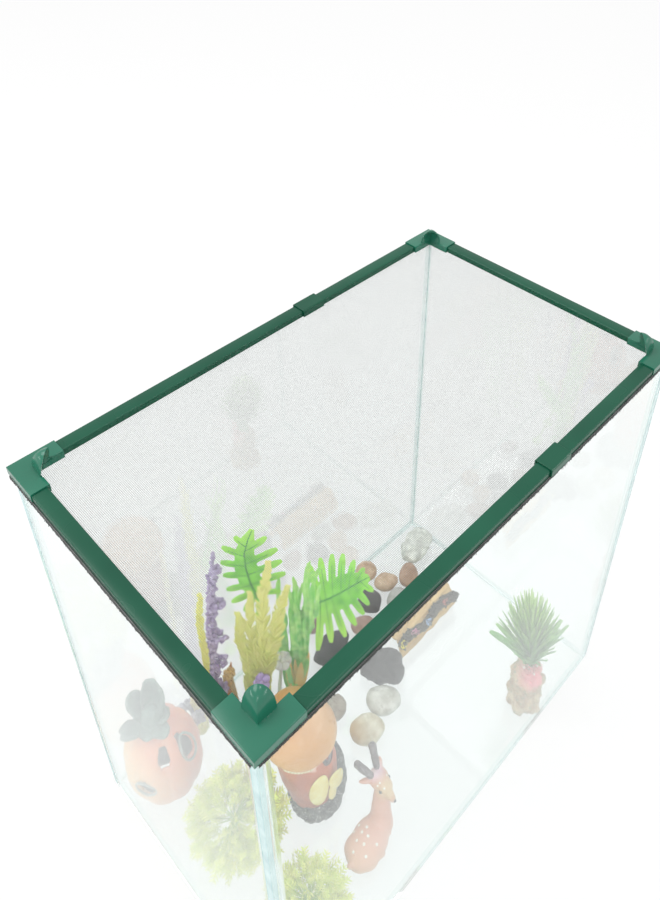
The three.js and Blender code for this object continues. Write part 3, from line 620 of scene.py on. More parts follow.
def keepBelow(bm, ceiling):
    for vert in bm.verts:
        vert.co.z = min(vert.co.z, ceiling)


# One skin over parts that run into each other
def melted(bm, voxel, smoothing=5):
    rough = shown("rough", meshFrom(bm, "rough"))
    addModifier(rough, "REMESH", mode="VOXEL", voxel_size=voxel * mm)
    seen = rough.evaluated_get(bpy.context.evaluated_depsgraph_get())
    made = bpy.data.meshes.new_from_object(seen)
    bpy.data.objects.remove(rough)
    out = bmesh.new()
    out.from_mesh(made)
    for _ in range(smoothing):
        bmesh.ops.smooth_vert(out, verts=out.verts, factor=0.5, use_axis_x=True, use_axis_y=True,
                              use_axis_z=True)
    return out


def stamp(bm, mesh, matrix):
    before = len(bm.verts)
    bm.from_mesh(mesh)
    bmesh.ops.transform(bm, matrix=matrix, verts=newVerts(bm, before))


def aimed(place, direction, spin=0.0, scale=1.0):
    turn = direction.to_track_quat("Z", "Y").to_matrix().to_4x4()
    return Matrix.Translation(place) @ turn @ Matrix.Rotation(spin, 4, "Z") @ Matrix.Scale(scale, 4)


# Five rounded petals and a button middle
def flower(bm, place, up, size, spin=0.0):
    matrix = aimed(place, up, spin * tau)
    for k in range(5):
        way = around(tau * k / 5)
        side = Vector((-way.y, way.x, 0))
        path = [matrix @ ((way * size * t + Vector((0, 0, size * 0.35 * t * t))) * mm)
                for t in (0.1, 0.5, 0.85, 1.1)]
        strip(bm, path, [size * 0.3, size * 0.85, size * 0.9, size * 0.35], matrix.to_3x3() @ side, cup=0.2)
    ball(bm, place + up * 0.4 * mm, size * 0.3, fineness=1)


# Finishes used by several furnishings

# A second colour laid over the base one by a share
def washBy(material, share, tint):
    tree = material.node_tree
    shader = next(n for n in tree.nodes if n.type == "BSDF_PRINCIPLED")
    base = shader.inputs["Base Color"].links[0].from_socket
    tree.links.new(mixColour(tree, share, base, colour(*tint)), shader.inputs["Base Color"])


def mottled(name, dark, light, rough=0.45, spread=45.0, fine=900.0, bump=0.25, depth=0.1, specked=None):
    material, tree, shader, tone = grained(name, dark, light, fine, spread, bump, depth, (0.32, 0.68))
    if specked:
        dots = useGroup(tree, specks, Scale=specked["scale"], Amount=specked["amount"])
        washBy(material, dots["Specks"], specked["colour"])
    tree.links.new(mapped(tree, tone["Height"], 0.3, 0.7, rough - 0.06, rough + 0.08), shader.inputs["Roughness"])
    return material


# The share goes from first at near mm from the place to last at far mm
def washNear(material, place, near, far, tint, first=1.0, last=0.0):
    tree = material.node_tree
    gap = addNode(tree, "VectorMath", {"operation": "DISTANCE"}, i0=ownPlace(tree), i1=place)
    washBy(material, mapped(tree, gap.outputs["Value"], near * mm, far * mm, first, last), tint)


def washUp(material, low, high, tint):
    tree = material.node_tree
    height = addNode(tree, "SeparateXYZ", Vector=ownPlace(tree)).outputs["Z"]
    washBy(material, mapped(tree, height, (low + floorTop) * mm, (high + floorTop) * mm, 0.0, 1.0), tint)


# Pebbles

# place, size, turn, broken edges, roughness, dark tone, light tone and slot of each stone
pebbles = {
    "pebble_slate": ((40, 18), (44, 33, 26), -60, 1.5, 0.6, (0.01, 0.01, 0.01), (0.034, 0.034, 0.031), "slate"),
    "pebble_long_slate": ((17, 67), (47, 27, 14), 4, 0.7, 0.5, (0.012, 0.012, 0.013), (0.04, 0.04, 0.042), "slate"),
    "pebble_charcoal": ((83, 74), (32, 23, 15), 70, 0.5, 0.5, (0.014, 0.012, 0.012), (0.05, 0.045, 0.045), "slate"),
    "pebble_mottled": ((23, 99), (23, 18, 12), 30, 0.0, 0.4, (0.2, 0.11, 0.1), (0.4, 0.27, 0.25), "brown_stone"),
    "pebble_white": ((15, -4), (34, 26, 20), -44, 0.0, 0.25, (0.42, 0.4, 0.34), (0.72, 0.7, 0.64), "white_stone"),
    "pebble_honey": ((-16, -12), (34, 27, 20), -38, 0.0, 0.25, (0.52, 0.43, 0.27), (0.78, 0.72, 0.56),
                     "honey_stone"),
    "pebble_grey_brown": ((-22, 24), (26, 21, 16), 20, 0.0, 0.18, (0.2, 0.13, 0.08), (0.42, 0.36, 0.28),
                          "brown_stone"),
    "pebble_tan": ((103, 101), (27, 22, 18), 10, 0.0, 0.4, (0.42, 0.24, 0.13), (0.68, 0.47, 0.31), "brown_stone"),
    "pebble_sand": ((111, 78), (28, 21, 16), -20, 0.0, 0.4, (0.46, 0.28, 0.16), (0.72, 0.52, 0.36), "brown_stone"),
    "pebble_brown": ((134, 65), (30, 22, 17), 35, 0.0, 0.4, (0.32, 0.17, 0.1), (0.5, 0.31, 0.21), "brown_stone"),
    "pebble_pale": ((104, 56), (24, 19, 15), -10, 0.0, 0.35, (0.4, 0.38, 0.36), (0.6, 0.58, 0.56), "white_stone"),
    "pebble_rose": ((56, 60), (26, 20, 14), -30, 0.0, 0.4, (0.3, 0.16, 0.12), (0.5, 0.32, 0.27), "brown_stone"),
    "coral_stone": ((167, 84), (44, 33, 18), 15, 1.6, 0.8, (0.55, 0.54, 0.5), (0.86, 0.85, 0.8), "white_stone"),
}
brokenFaces = {"count": 7, "depth": (0.78, 0.92), "flatness": 0.85}
honeyStain = {"at": (-28, -5, 9), "near": 4, "far": 19, "tint": (0.55, 0.29, 0.015)}


def makePebbles():
    for seed, (name, (at, size, turn, broken, rough, dark, light, slot)) in enumerate(pebbles.items()):
        bm = bmesh.new()
        centre = spot(*at, size[2] / 2)
        ball(bm, centre, [k / 2 for k in size], turn, 5)
        roughen(bm, (2.6 + broken * 3, 17, seed + 1), (0.5 + broken, 6, seed + 31), (0.1 + broken * 0.3, 2, seed + 61))
        rnd = random.Random(seed)
        for _ in range(brokenFaces["count"] if broken else 0):
            way = Vector((rnd.uniform(-1, 1), rnd.uniform(-1, 1), rnd.uniform(-0.2, 1))).normalized()
            reach = max((v.co - centre).dot(way) for v in bm.verts) * rnd.uniform(*brokenFaces["depth"])
            for vert in bm.verts:
                vert.co -= way * max(0, (vert.co - centre).dot(way) - reach) * brokenFaces["flatness"]
        keepAbove(bm)
        finish = mottled(name + "Finish", dark, light, rough=rough, spread=70.0 + 9 * seed, fine=500.0,
                         bump=0.35 + 0.2 * broken, depth=0.15 + broken * 0.2,
                         specked={"scale": 700.0, "amount": 0.12, "colour": dark})
        if name == "pebble_honey":
            washNear(finish, spot(*honeyStain["at"]), honeyStain["near"], honeyStain["far"], honeyStain["tint"])
        pieceFromBm(name + "_stone", bm, finish, [name])


# Mushroom hut

hut = {
    "at": (-80.5, -11.5), "shift": (-8.5, 5.5), "stemTop": 104, "stretch": 1.34, "footShift": (6.3, 4.7),
    "footTurn": radians(45),
    "foot": [(0, 0), (25.6, 0), (26.6, 6), (26, 13), (24, 19), (19.5, 22.6), (0, 23)],
    "stem": [(0, 2), (21.8, 2), (22.6, 24), (24.8, 46), (24.6, 78), (23.4, 102), (0, 102)],
    "grooves": {"count": 22, "twist": 120, "depth": 0.3},
    "cap": [(0, 98.5), (20, 98.5), (26.5, 98.2), (29.2, 99.6), (30.6, 103), (30.4, 108), (28.8, 115.5),
            (25.4, 122.5), (20.4, 128.6), (13.6, 133), (6.6, 135.4), (0, 136)],
    "capPaintedHighlight": {"at": (-78, -12, 134), "near": 4, "far": 26, "tint": (0.76, 0.43, 0.2)},
    "frill": {"count": 9, "first": -2.75, "step": 0.1, "z": 94.5, "reach": 26, "size": (1.9, 1.5, 2.6)},
    "plaques": [{"angle": -1.9, "z": 52, "size": (9.8, 24), "tilt": 0.14, "reach": 24.8},
                {"angle": -1.24, "z": 49, "size": (8, 15.5), "tilt": -0.1, "reach": 24.6, "flare": 5},
                {"angle": -1.45, "z": 35, "size": (5.6, 12.5), "tilt": 0.08, "reach": 24.8}],
    "window": {"angle": -1.2, "z": 86, "size": (6.6, 11), "reach": 23.4, "rim": 1.1, "bar": 0.5,
               "uprights": (-0.35, 0.35), "crossbars": (-0.45, 0, 0.45)},
    "blossom": [(-1.93, 88, 2.9), (-1.82, 91, 2.3), (-1.86, 84, 1.8)],  # angle, height and size of each petal
}


# A point on the leaning stem, reach mm from its middle
def onStem(angle, reach, z):
    share = z / hut["stemTop"]
    x, y = [a + s * share for a, s in zip(hut["at"], hut["shift"])]
    return spot(x, y, z) + around(angle, reach) * mm


# A domed oval plate with a low rim, bent round the stem
def plaque(bm, angle, z, size, reach, dome, tilt=0.0, flare=0.0):
    before = len(bm.verts)
    made = bmesh.ops.create_circle(bm, cap_ends=True, segments=28, radius=1)["verts"]
    middle = made[0].link_faces[0]
    for depth in (0.12, 0.3, 0.3):
        bmesh.ops.inset_region(bm, faces=[middle], thickness=depth, depth=0)
    for vert in newVerts(bm, before):
        x, y = vert.co.x, vert.co.y
        edge = hypot(x, y)
        swell = dome * (1 - edge ** 2) + (0.5 if 0.75 < edge < 0.95 else 0) + flare * (x + 1) / 2
        vert.co = onStem(angle + (x * size[0] + y * tilt * size[1]) / reach, reach + swell, z + y * size[1])


def makeHut():
    base = spot(*hut["at"])
    bm = bmesh.new()
    spun(bm, hut["foot"], Vector())
    size = (Matrix.Translation(base + Vector((*hut["footShift"], 0)) * mm) @ Matrix.Rotation(hut["footTurn"], 4, "Z")
            @ Matrix.Diagonal((hut["stretch"], 1, 1, 1)))
    bmesh.ops.transform(bm, matrix=size, verts=bm.verts)
    weld(bm)
    bm = melted(bm, 1.0, 3)
    roughen(bm, (1.8, 7, 3), (0.9, 2.5, 5))
    keepAbove(bm)
    gravel = mottled("hutFootPaint", (0.03, 0.036, 0.042), (0.12, 0.125, 0.13), rough=0.6, spread=160.0, fine=700.0,
                     bump=0.6, depth=0.3, specked={"scale": 750.0, "amount": 0.3, "colour": (0.6, 0.61, 0.6)})
    pieceFromBm("mushroom_foot", bm, gravel, ["mushroom_hut"])

    bm = bmesh.new()
    spun(bm, hut["stem"], base)
    weld(bm)
    upright = [e for e in bm.edges if abs(e.verts[0].co.z - e.verts[1].co.z) > 4 * mm]
    bmesh.ops.subdivide_edges(bm, edges=upright, cuts=3)
    roughen(bm, (1.2, 12, 8))
    grooves = hut["grooves"]
    for vert in bm.verts:
        turn = atan2(vert.co.y - base.y, vert.co.x - base.x)
        wave = sin(turn * grooves["count"] + vert.co.z * grooves["twist"])
        vert.co += around(turn) * (grooves["depth"] * mm * wave)
        share = (vert.co.z - base.z) / mm / hut["stemTop"]
        vert.co += Vector((*hut["shift"], 0)) * share * mm
    stemPaint = mottled("hutStemPaint", (0.46, 0.075, 0.012), (0.62, 0.155, 0.045), rough=0.4, spread=60.0,
                        fine=420.0, bump=0.3, depth=0.25)
    pieceFromBm("mushroom_stem", bm, stemPaint, levels=1)

    bm = bmesh.new()
    capAt = [a + s for a, s in zip(hut["at"], hut["shift"])]
    spun(bm, hut["cap"], spot(*capAt), 56)
    weld(bm)
    roughen(bm, (0.8, 18, 2))
    capPaint = mottled("hutCapPaint", (0.58, 0.24, 0.04), (0.72, 0.36, 0.1), rough=0.3, spread=38.0, fine=300.0,
                       bump=0.12, depth=0.2)
    # painted highlight: a lighter patch near the top of the cap
    light = hut["capPaintedHighlight"]
    washNear(capPaint, spot(*light["at"]), light["near"], light["far"], light["tint"])
    pieceFromBm("mushroom_cap", bm, capPaint, levels=2)

    # cream frill hanging under the cap's front
    bm = bmesh.new()
    frill = hut["frill"]
    for i in range(frill["count"]):
        turn = frill["first"] + i * frill["step"]
        place = spot(*capAt, frill["z"]) + around(turn, frill["reach"]) * mm
        ball(bm, place, frill["size"], degrees(turn) + 90, 2)
    cream = mottled("creamPaint", (0.66, 0.56, 0.34), (0.8, 0.72, 0.5), rough=0.4, spread=200.0)
    pieceFromBm("mushroom_frill", bm, cream)

    bm = bmesh.new()
    for panel in hut["plaques"]:
        plaque(bm, dome=1.8, **panel)
    panelPaint = mottled("petalPaint", (0.86, 0.68, 0.14), (0.97, 0.88, 0.42), rough=0.35, spread=110.0, fine=300.0,
                         bump=0.3, depth=0.3)
    pieceFromBm("mushroom_panels", bm, panelPaint, thick=1.8, side=-1, levels=2)

    window = hut["window"]
    bm = bmesh.new()
    plaque(bm, window["angle"], window["z"], window["size"], window["reach"], 0.3)
    darkPane = mottled("hutWindowPaint", (0.012, 0.018, 0.035), (0.06, 0.08, 0.13), rough=0.3, spread=400.0,
                       fine=1200.0)
    pieceFromBm("mushroom_window", bm, darkPane, thick=1.4, side=-1, levels=1)

    # its rim and glazing bars
    bm = bmesh.new()
    wide, tall = window["size"]
    ends = (-0.85, -0.4, 0, 0.4, 0.85)
    rim = [(cos(tau * i / 24), sin(tau * i / 24)) for i in range(25)]
    bars = [[(k, t) for t in ends] for k in window["uprights"]] + [[(t, k) for t in ends] for k in window["crossbars"]]
    for line, thick in [(rim, window["rim"])] + [(bar, window["bar"]) for bar in bars]:
        tube(bm, [onStem(window["angle"] + x * wide / window["reach"], window["reach"] + 0.4, window["z"] + y * tall)
                  for x, y in line], thick, 2)
    rimPaint = mottled("hutFramePaint", (0.05, 0.04, 0.04), (0.14, 0.12, 0.13), rough=0.5, spread=200.0)
    pieceFromBm("mushroom_window_rim", bm, rimPaint)

    # small pink blossom by the window
    bm = bmesh.new()
    for turn, z, size in hut["blossom"]:
        ball(bm, onStem(turn, window["reach"] + 0.2, z), (size, size * 0.6, size * 1.3), degrees(turn) + 90)
    blossomPaint = mottled("blossomPaint", (0.74, 0.36, 0.27), (0.88, 0.58, 0.48), rough=0.4, spread=300.0)
    pieceFromBm("mushroom_blossom", bm, blossomPaint)


# Pumpkin hide

pumpkin = {
    "at": (-161.8, 81.8), "radius": 32.5, "height": 104, "wall": 3.4,
    "profile": {"steps": 24, "bottom": -0.86, "span": 1.84, "top": 0.98, "girth": 0.995, "sink": 3.6},
    "lobes": {"count": 8, "depth": 0.06, "flatness": 0.7, "middle": 0.9},
    "around": 30,  # mm along the rind for one radian
    "openings": [{"angle": -1.1, "z": 79, "size": (7.5, 12.75), "framed": True},
                 {"angle": -1.95, "z": 85, "size": (6, 9), "framed": False},
                 {"angle": -2.6, "z": 55, "size": (7.5, 7.1), "framed": True}],
    "frames": {"gap": 1, "level": 0.95, "reach": 0.985, "thick": 1.0},
    "blush": {"from": (-0.035, 0.01, 0.05), "near": 24, "far": 58, "tint": (0.88, 0.5, 0.2)},
    "crown": [(1.8, 21, 20, 17), (0.67, 16, 34, 18), (0.1, 15, 27, 16), (-0.7, 20, 6, 15), (-2.4, 18, -2, 15),
              (2.8, 27, -3, 16), (-1.5, 22, -3, 15)],  # angle, reach, rise and width of each leaf
    "crownShift": (-3, 3), "leafThick": 3, "leafShape": (0.5, 0.68, 0.84, 0.96, 1.02, 1.0, 0.88, 0.66, 0.28),
}


def makePumpkin():
    centre = spot(*pumpkin["at"])
    high, radius = pumpkin["height"], pumpkin["radius"]
    bm = bmesh.new()
    outline, lobes = pumpkin["profile"], pumpkin["lobes"]
    profile = []
    for i in range(outline["steps"] + 1):
        level = outline["bottom"] + outline["span"] * i / outline["steps"]
        reach = radius * sqrt(max(0, 1 - level * level)) / outline["girth"]
        profile.append((reach, high / 2 * (1 + level / outline["top"]) - outline["sink"]))
    profile[0] = (profile[0][0], 0)
    profile[-1] = (0, profile[-1][1])
    spun(bm, profile, centre, 96)
    weld(bm)
    for vert in bm.verts:
        turn = atan2(vert.co.y - centre.y, vert.co.x - centre.x)
        wave = abs(cos(turn * lobes["count"] / 2)) ** lobes["flatness"]
        swell = 1 + lobes["depth"] * (wave - lobes["middle"])
        vert.co.x = centre.x + (vert.co.x - centre.x) * swell
        vert.co.y = centre.y + (vert.co.y - centre.y) * swell

    def inOpening(face):
        middle = face.calc_center_median()
        turn = atan2(middle.y - centre.y, middle.x - centre.x)
        z = (middle.z - centre.z) / mm
        for hole in pumpkin["openings"]:
            wide, tall = hole["size"]
            if hypot((turn - hole["angle"]) * pumpkin["around"] / wide, (z - hole["z"]) / tall) < 1:
                return True
        return False

    bmesh.ops.delete(bm, geom=[face for face in bm.faces if inOpening(face)], context="FACES")
    faceOut(bm)
    roughen(bm, (0.8, 9, 4))
    rind = mottled("pumpkinPaint", (0.74, 0.16, 0.06), (0.86, 0.3, 0.13), rough=0.35, spread=50.0, fine=380.0,
                   bump=0.25, depth=0.25)
    blush = pumpkin["blush"]
    washNear(rind, centre + Vector(blush["from"]), blush["near"], blush["far"], blush["tint"])
    piece = pieceFromBm("pumpkin_shell", bm, rind, ["pumpkin_hide"], thick=pumpkin["wall"], side=-1,
                        levels=1, inside=1)
    piece.data.materials.append(mottled("pumpkinInsidePaint", (0.05, 0.04, 0.03), (0.13, 0.09, 0.06), rough=0.6))

    # raised frames round two of the openings
    bm = bmesh.new()
    frames = pumpkin["frames"]
    for hole in [h for h in pumpkin["openings"] if h["framed"]]:
        ring = []
        for i in range(33):
            turn = tau * i / 32
            bend = hole["angle"] + cos(turn) * (hole["size"][0] + frames["gap"]) / pumpkin["around"]
            z = hole["z"] + sin(turn) * (hole["size"][1] + frames["gap"])
            level = (z / high * 2 - 1) * frames["level"]
            reach = radius * sqrt(max(0.1, 1 - level * level)) * frames["reach"]
            ring.append(centre + around(bend, reach, z) * mm)
        tube(bm, ring, frames["thick"], 2)
    trim = mottled("pumpkinTrimPaint", (0.2, 0.24, 0.22), (0.34, 0.4, 0.37), rough=0.45, spread=120.0)
    pieceFromBm("pumpkin_window_frames", bm, trim)

    # crown of thick rounded leaves
    bm = bmesh.new()
    shift = Vector((*pumpkin["crownShift"], 0))
    foot = shift * 0.6 + Vector((0, 0, high - 5))
    for angle, reach, rise, width in pumpkin["crown"]:
        out = around(angle, reach * 0.9)
        tip = out + shift + Vector((0, 0, high + rise))
        bend = (foot + tip) / 2 + out * 0.3 + Vector((0, 0, 5))
        path = [centre + curved(foot, bend, tip, k / 8) * mm for k in range(9)]
        strip(bm, path, [width * k for k in pumpkin["leafShape"]], around(angle + pi / 2), cup=-2.2, across=4)
    limb(bm, centre + (foot - Vector((0, 0, 2))) * mm, centre + (foot + Vector((0, 0, 16))) * mm, 6, 4)
    faceOut(bm)
    bmesh.ops.solidify(bm, geom=bm.faces[:], thickness=-pumpkin["leafThick"] * mm)
    bm = melted(bm, 0.9, 4)
    roughen(bm, (0.6, 5, 9))
    leafPaint = mottled("pumpkinCrownPaint", (0.06, 0.1, 0.085), (0.16, 0.24, 0.2), rough=0.45, spread=80.0,
                        fine=420.0, bump=0.3, depth=0.25)
    pieceFromBm("pumpkin_crown", bm, leafPaint)


# Lying fawn

fawn = {
    "at": (-77, -76), "turn": 12,
    "balls": [((-3, 0, 13), (24, 15, 13)), ((-11, 1, 12), (14, 15.5, 12)), ((14, -1, 15), (12, 11, 13)),
              ((28.3, 10, 52), (8.8, 8.6, 7.8)), ((27.2, 4.5, 49.5), (7, 8, 6.8))],
    "limbs": [((17, 0, 19), (25.6, 5, 43), 10, 6.6), ((27.5, 4, 48), (24.6, -6, 42.8), 5.4, 3.2),
              ((12, -5, 8), (15, -8, 5), 4.8, 3.8), ((16, 4, 8), (21, 2, 4), 4.8, 3.8),
              ((-12, -6, 9), (-1, -11.5, 5), 6.2, 3.8), ((-21, 0, 13), (-27, 3, 18), 4, 2.6)],
    "ears": [((24, 13, 54), (16.5, 21, 54)), ((33, 12, 54), (38, 15, 63))],
    "antlers": [((25, 14, 55), (20, 25.4, 71)), ((31.5, 13, 55), (38, 22.5, 74))],
    "ear": (2.2, 1.6, 5), "earBowl": (2.8, 2.6, 3), "antler": (3.2, 3.5, 9),  # radii at both ends, balls
    "dotSizes": (1.3, 0.9), "dotRise": 0.28,
    "backDots": [(-5.2, 12.8, 19.6), (0.6, 11.6, 20.8), (1.8, 4.5, 25), (-3.4, 6.1, 24.7), (-3.6, 0.1, 25.9),
                 (-10.5, 6.8, 23.8), (-10.1, -0.1, 25.3), (-15, -5, 21), (-17, 4, 19), (-4, -8, 22)],
    "headDots": [(23.3, 5.7, 57.4), (21.1, 6.6, 55.3), (23.9, 1.6, 52.9), (32, 4, 57)],
    "face": [((34, 3.6, 51), (1.2, 1.4, 1.8)), ((20.6, 3.4, 50), (1.2, 1.4, 1.8)), ((24, -9, 43), (1.5, 1.1, 1))],
    "washes": [((-16, 0, 4), 6, 26, (0.74, 0.42, 0.22)), ((26, 0, 50), 5, 13, (0.72, 0.5, 0.28)),
               ((29, 14, 58), 4, 10, (0.78, 0.55, 0.62))],  # place, near, far and tint
}


def makeFawn():
    turn = Matrix.Rotation(radians(fawn["turn"]), 4, "Z")

    def place(point):
        return spot(*fawn["at"]) + (turn @ Vector(point)) * mm

    bm = bmesh.new()
    for centre, radii in fawn["balls"]:
        ball(bm, place(centre), radii, fawn["turn"])
    for start, end, thick, thin in fawn["limbs"]:
        limb(bm, place(start), place(end), thick, thin)
    for start, end in fawn["ears"]:
        root, tip = place(start), place(end)
        limb(bm, root, tip, *fawn["ear"])
        limb(bm, root.lerp(tip, 0.35), root.lerp(tip, 0.75), *fawn["earBowl"])
    bm = melted(bm, 0.75, 9)
    roughen(bm, (0.35, 6, 2))
    keepAbove(bm)
    bm.normal_update()
    skin = mathutils.bvhtree.BVHTree.FromBMesh(bm)
    coat = mottled("fawnPaint", (0.64, 0.28, 0.18), (0.78, 0.42, 0.31), rough=0.42, spread=35.0, fine=500.0,
                   bump=0.15, depth=0.12)
    for middle, near, far, tint in fawn["washes"]:
        washNear(coat, place(middle), near, far, tint)
    pieceFromBm("fawn_body", bm, coat, ["lying_fawn"])

    bm = bmesh.new()
    for start, end in fawn["antlers"]:
        limb(bm, place(start), place(end), *fawn["antler"])
    bm = melted(bm, 0.6, 3)
    roughen(bm, (0.5, 2.2, 1))
    horn = mottled("antlerPaint", (0.07, 0.055, 0.06), (0.19, 0.16, 0.165), rough=0.6, spread=260.0,
                   specked={"scale": 1300.0, "amount": 0.3, "colour": (0.4, 0.36, 0.37)})
    pieceFromBm("fawn_antlers", bm, horn)

    bm = bmesh.new()
    for dots, size in zip((fawn["backDots"], fawn["headDots"]), fawn["dotSizes"]):
        for dot in dots:
            hit, normal = skin.find_nearest(place(dot))[:2]
            flat = Matrix.Diagonal((size * mm, size * mm, fawn["dotRise"] * mm, 1))
            bmesh.ops.create_icosphere(bm, subdivisions=2, radius=1, matrix=aimed(hit, normal) @ flat)
    white = mottled("fawnSpotPaint", (0.78, 0.74, 0.68), (0.9, 0.88, 0.84), rough=0.45, spread=300.0)
    pieceFromBm("fawn_spots", bm, white)

    bm = bmesh.new()
    for dot, radii in fawn["face"]:
        ball(bm, skin.find_nearest(place(dot))[0], radii, fawn["turn"])
    gloss = mottled("fawnEyePaint", (0.01, 0.009, 0.009), (0.03, 0.024, 0.02), rough=0.15, spread=300.0, bump=0.02)
    pieceFromBm("fawn_eyes_and_nose", bm, gloss)


# Log tunnel

log = {"at": (62, 27), "length": 85, "depth": 27, "height": 25, "wall": 3.2,
       "garland": {"around": 0.78, "wave": 0.1, "strands": 4, "steps": 40, "turns": 21, "proud": 2.3, "deep": 1.6,
                   "wide": 2.5, "leaves": 130, "leafShape": (2.4, 5, 4.6, 2.6, 0.3)},
       "blooms": [(0.03, (0.88, 0.74, 0.06)), (0.22, (0.8, 0.3, 0.5)), (0.46, (0.3, 0.46, 0.75)),
                  (0.8, (0.5, 0.12, 0.1))]}


def logPoint(share, proud=0.0, turn=None):
    garland = log["garland"]
    angle = garland["around"] + garland["wave"] * sin(share * 11.4) if turn is None else turn
    y = -(log["depth"] / 2 + proud) * cos(angle)
    z = (log["height"] + proud) * sin(angle)
    return spot(log["at"][0] + log["length"] * share, log["at"][1] + y, z)


def makeLog():
    bm = bmesh.new()
    bmesh.ops.create_grid(bm, x_segments=56, y_segments=36, size=1)
    for vert in bm.verts:
        share = (vert.co.x + 1) / 2
        angle = (vert.co.y + 1) / 2 * pi
        groove = 0.5 * sin(angle * 17 + 2 * sin(share * 5)) + 0.35 * sin(angle * 31 + share * 9)
        end = 1.2 * sin(angle * 5) if share in (0, 1) else 0
        vert.co = logPoint(share, groove, angle)
        vert.co.x += end * mm * (1 if share else -1)
    faceOut(bm)
    roughen(bm, (1.5, 11, 3), (0.5, 3, 4))
    keepAbove(bm)
    bark = mottled("barkPaint", (0.54, 0.3, 0.09), (0.76, 0.5, 0.18), rough=0.55, spread=55.0, fine=420.0, bump=0.35,
                   depth=0.3)
    pieceFromBm("log_shell", bm, bark, ["log_tunnel"], thick=log["wall"], side=-1, levels=1)

    # garland: twisted strands with small leaves
    rnd = random.Random(6)
    bm = bmesh.new()
    garland = log["garland"]
    for strand in range(garland["strands"]):
        path = []
        for i in range(garland["steps"] + 1):
            share = i / garland["steps"]
            twist = share * garland["turns"] + strand * tau / 4
            place = logPoint(share, garland["proud"] + garland["deep"] * sin(twist))
            path.append(place + Vector((0, cos(twist) * garland["wide"] * mm, 0)))
        tube(bm, path, [2.0 + 0.5 * sin(i * 1.3 + strand) for i in range(len(path))])
    for i in range(garland["leaves"]):
        share = rnd.random() if i % 3 else rnd.uniform(0.78, 1.0)
        root = logPoint(share, 2.2)
        way = Vector((rnd.uniform(-1, 1), rnd.uniform(-1.2, 0.9), rnd.uniform(0, 1))).normalized()
        reach = rnd.uniform(4.5, 7.5 if i % 3 else 9) * mm
        side = way.cross(Vector((0.3, 0.2, 1))).normalized()
        blade(bm, root, root + way * reach, Vector((0, 0, 0.0012)), garland["leafShape"], 1, side, cup=0.5)
    faceOut(bm)
    twigPaint = mottled("twigPaint", (0.012, 0.011, 0.004), (0.07, 0.062, 0.03), rough=0.5, spread=230.0, fine=700.0,
                        bump=0.4, depth=0.2)
    pieceFromBm("log_garland", bm, twigPaint, thick=0.5)

    for i, (share, tint) in enumerate(log["blooms"]):
        bm = bmesh.new()
        for k in range(5):
            middle = logPoint(share + rnd.uniform(-0.035, 0.035), 4.6 + k * 0.3)
            up = Vector((rnd.uniform(-0.6, 0.4), rnd.uniform(-1, -0.2), 0.9)).normalized()
            flower(bm, middle, up, 3.0 - 0.3 * k, rnd.random())
        petals = mottled("bloomPaint" + str(i), [c * 0.8 for c in tint], tint, rough=0.45, spread=300.0)
        pieceFromBm("log_bloom_" + str(i + 1), bm, petals, thick=0.5)


# Plants

plantFeet = {
    "purple_spike_plant": (-99, 100), "lime_frond_small": (-116, 99), "lime_frond_plant": (-74, 72),
    "ribbon_plant": (-35, 63), "split_leaf_plant_left": (-54, 90), "split_leaf_plant_right": (-16, 82),
}
facing = Vector((0.69, -0.72, 0)).normalized()  # the way the flat fronds spread
sideways = facing.cross(Vector((0, 0, 1)))      # and the way they are thin


def plantFinish(name, dark, light, tip=None, low=120, high=240, **values):
    material = mottled(name, dark, light, **{"rough": 0.42, "spread": 130.0, "fine": 800.0, "bump": 0.3,
                                             "depth": 0.12, **values})
    if tip:
        washUp(material, low, high, tip)
    return material


def plantFoot(bm, at, radius, height):
    spun(bm, [(0, 0), (radius, 0), (radius, height * 0.5), (radius * 0.86, height * 0.85),
              (radius * 0.45, height), (0, height)], spot(*at), 28)


# From a point by the plant's foot to a tip, both in mm from that foot
def stem(name, start, end, arch, steps):
    x, y = plantFeet[name]
    return bowed(spot(x + start[0], y + start[1], 2), spot(x + end[0], y + end[1], end[2]),
                 Vector((0, 0, end[2] * arch * mm)), steps)


leaflet = {"first": 0.06, "span": 0.93, "out": (0.7, 1.15), "along": (0.75, 1.1), "sway": 0.7, "bow": 0.9,
           "shape": (0.6, 0.95, 1.1, 1.0, 0.75, 0.12), "width": (1.5, 2.6), "cup": 0.35}


# One frond: a flat stem with overlapping rows of narrow leaflets that lie close along it
def leafyFrond(bm, path, width, rows, rnd):
    last = len(path) - 1
    shares = [i / last for i in range(last + 1)]
    strip(bm, path, [width * (0.2 + 0.7 * t * (1 - t)) * (1 - t ** 3) for t in shares], facing, cup=0.5)
    for i in range(rows):
        share = leaflet["first"] + leaflet["span"] * i / rows
        taper = min(1, 0.25 + (1 - share) * 3.2)
        spread = (width * (0.16 + 1.5 * share * (1 - share)) * 0.46 + 0.8) * taper
        step = min(int(share * last), last - 1)
        root = path[step].lerp(path[step + 1], share * last - step)
        up = (path[step + 1] - path[step]).normalized()
        for hand in (-1, 1, rnd.uniform(-0.6, 0.6)):
            out = facing * hand * spread * rnd.uniform(*leaflet["out"])
            out += up * (5.5 * taper + spread * 1.5) * rnd.uniform(*leaflet["along"])
            end = root + (out + sideways * spread * rnd.uniform(-leaflet["sway"], leaflet["sway"])) * mm
            side = (end - root).cross(facing.cross(up)).normalized()
            blade(bm, root, end, facing * hand * leaflet["bow"] * mm, leaflet["shape"],
                  rnd.uniform(*leaflet["width"]), side, leaflet["cup"])


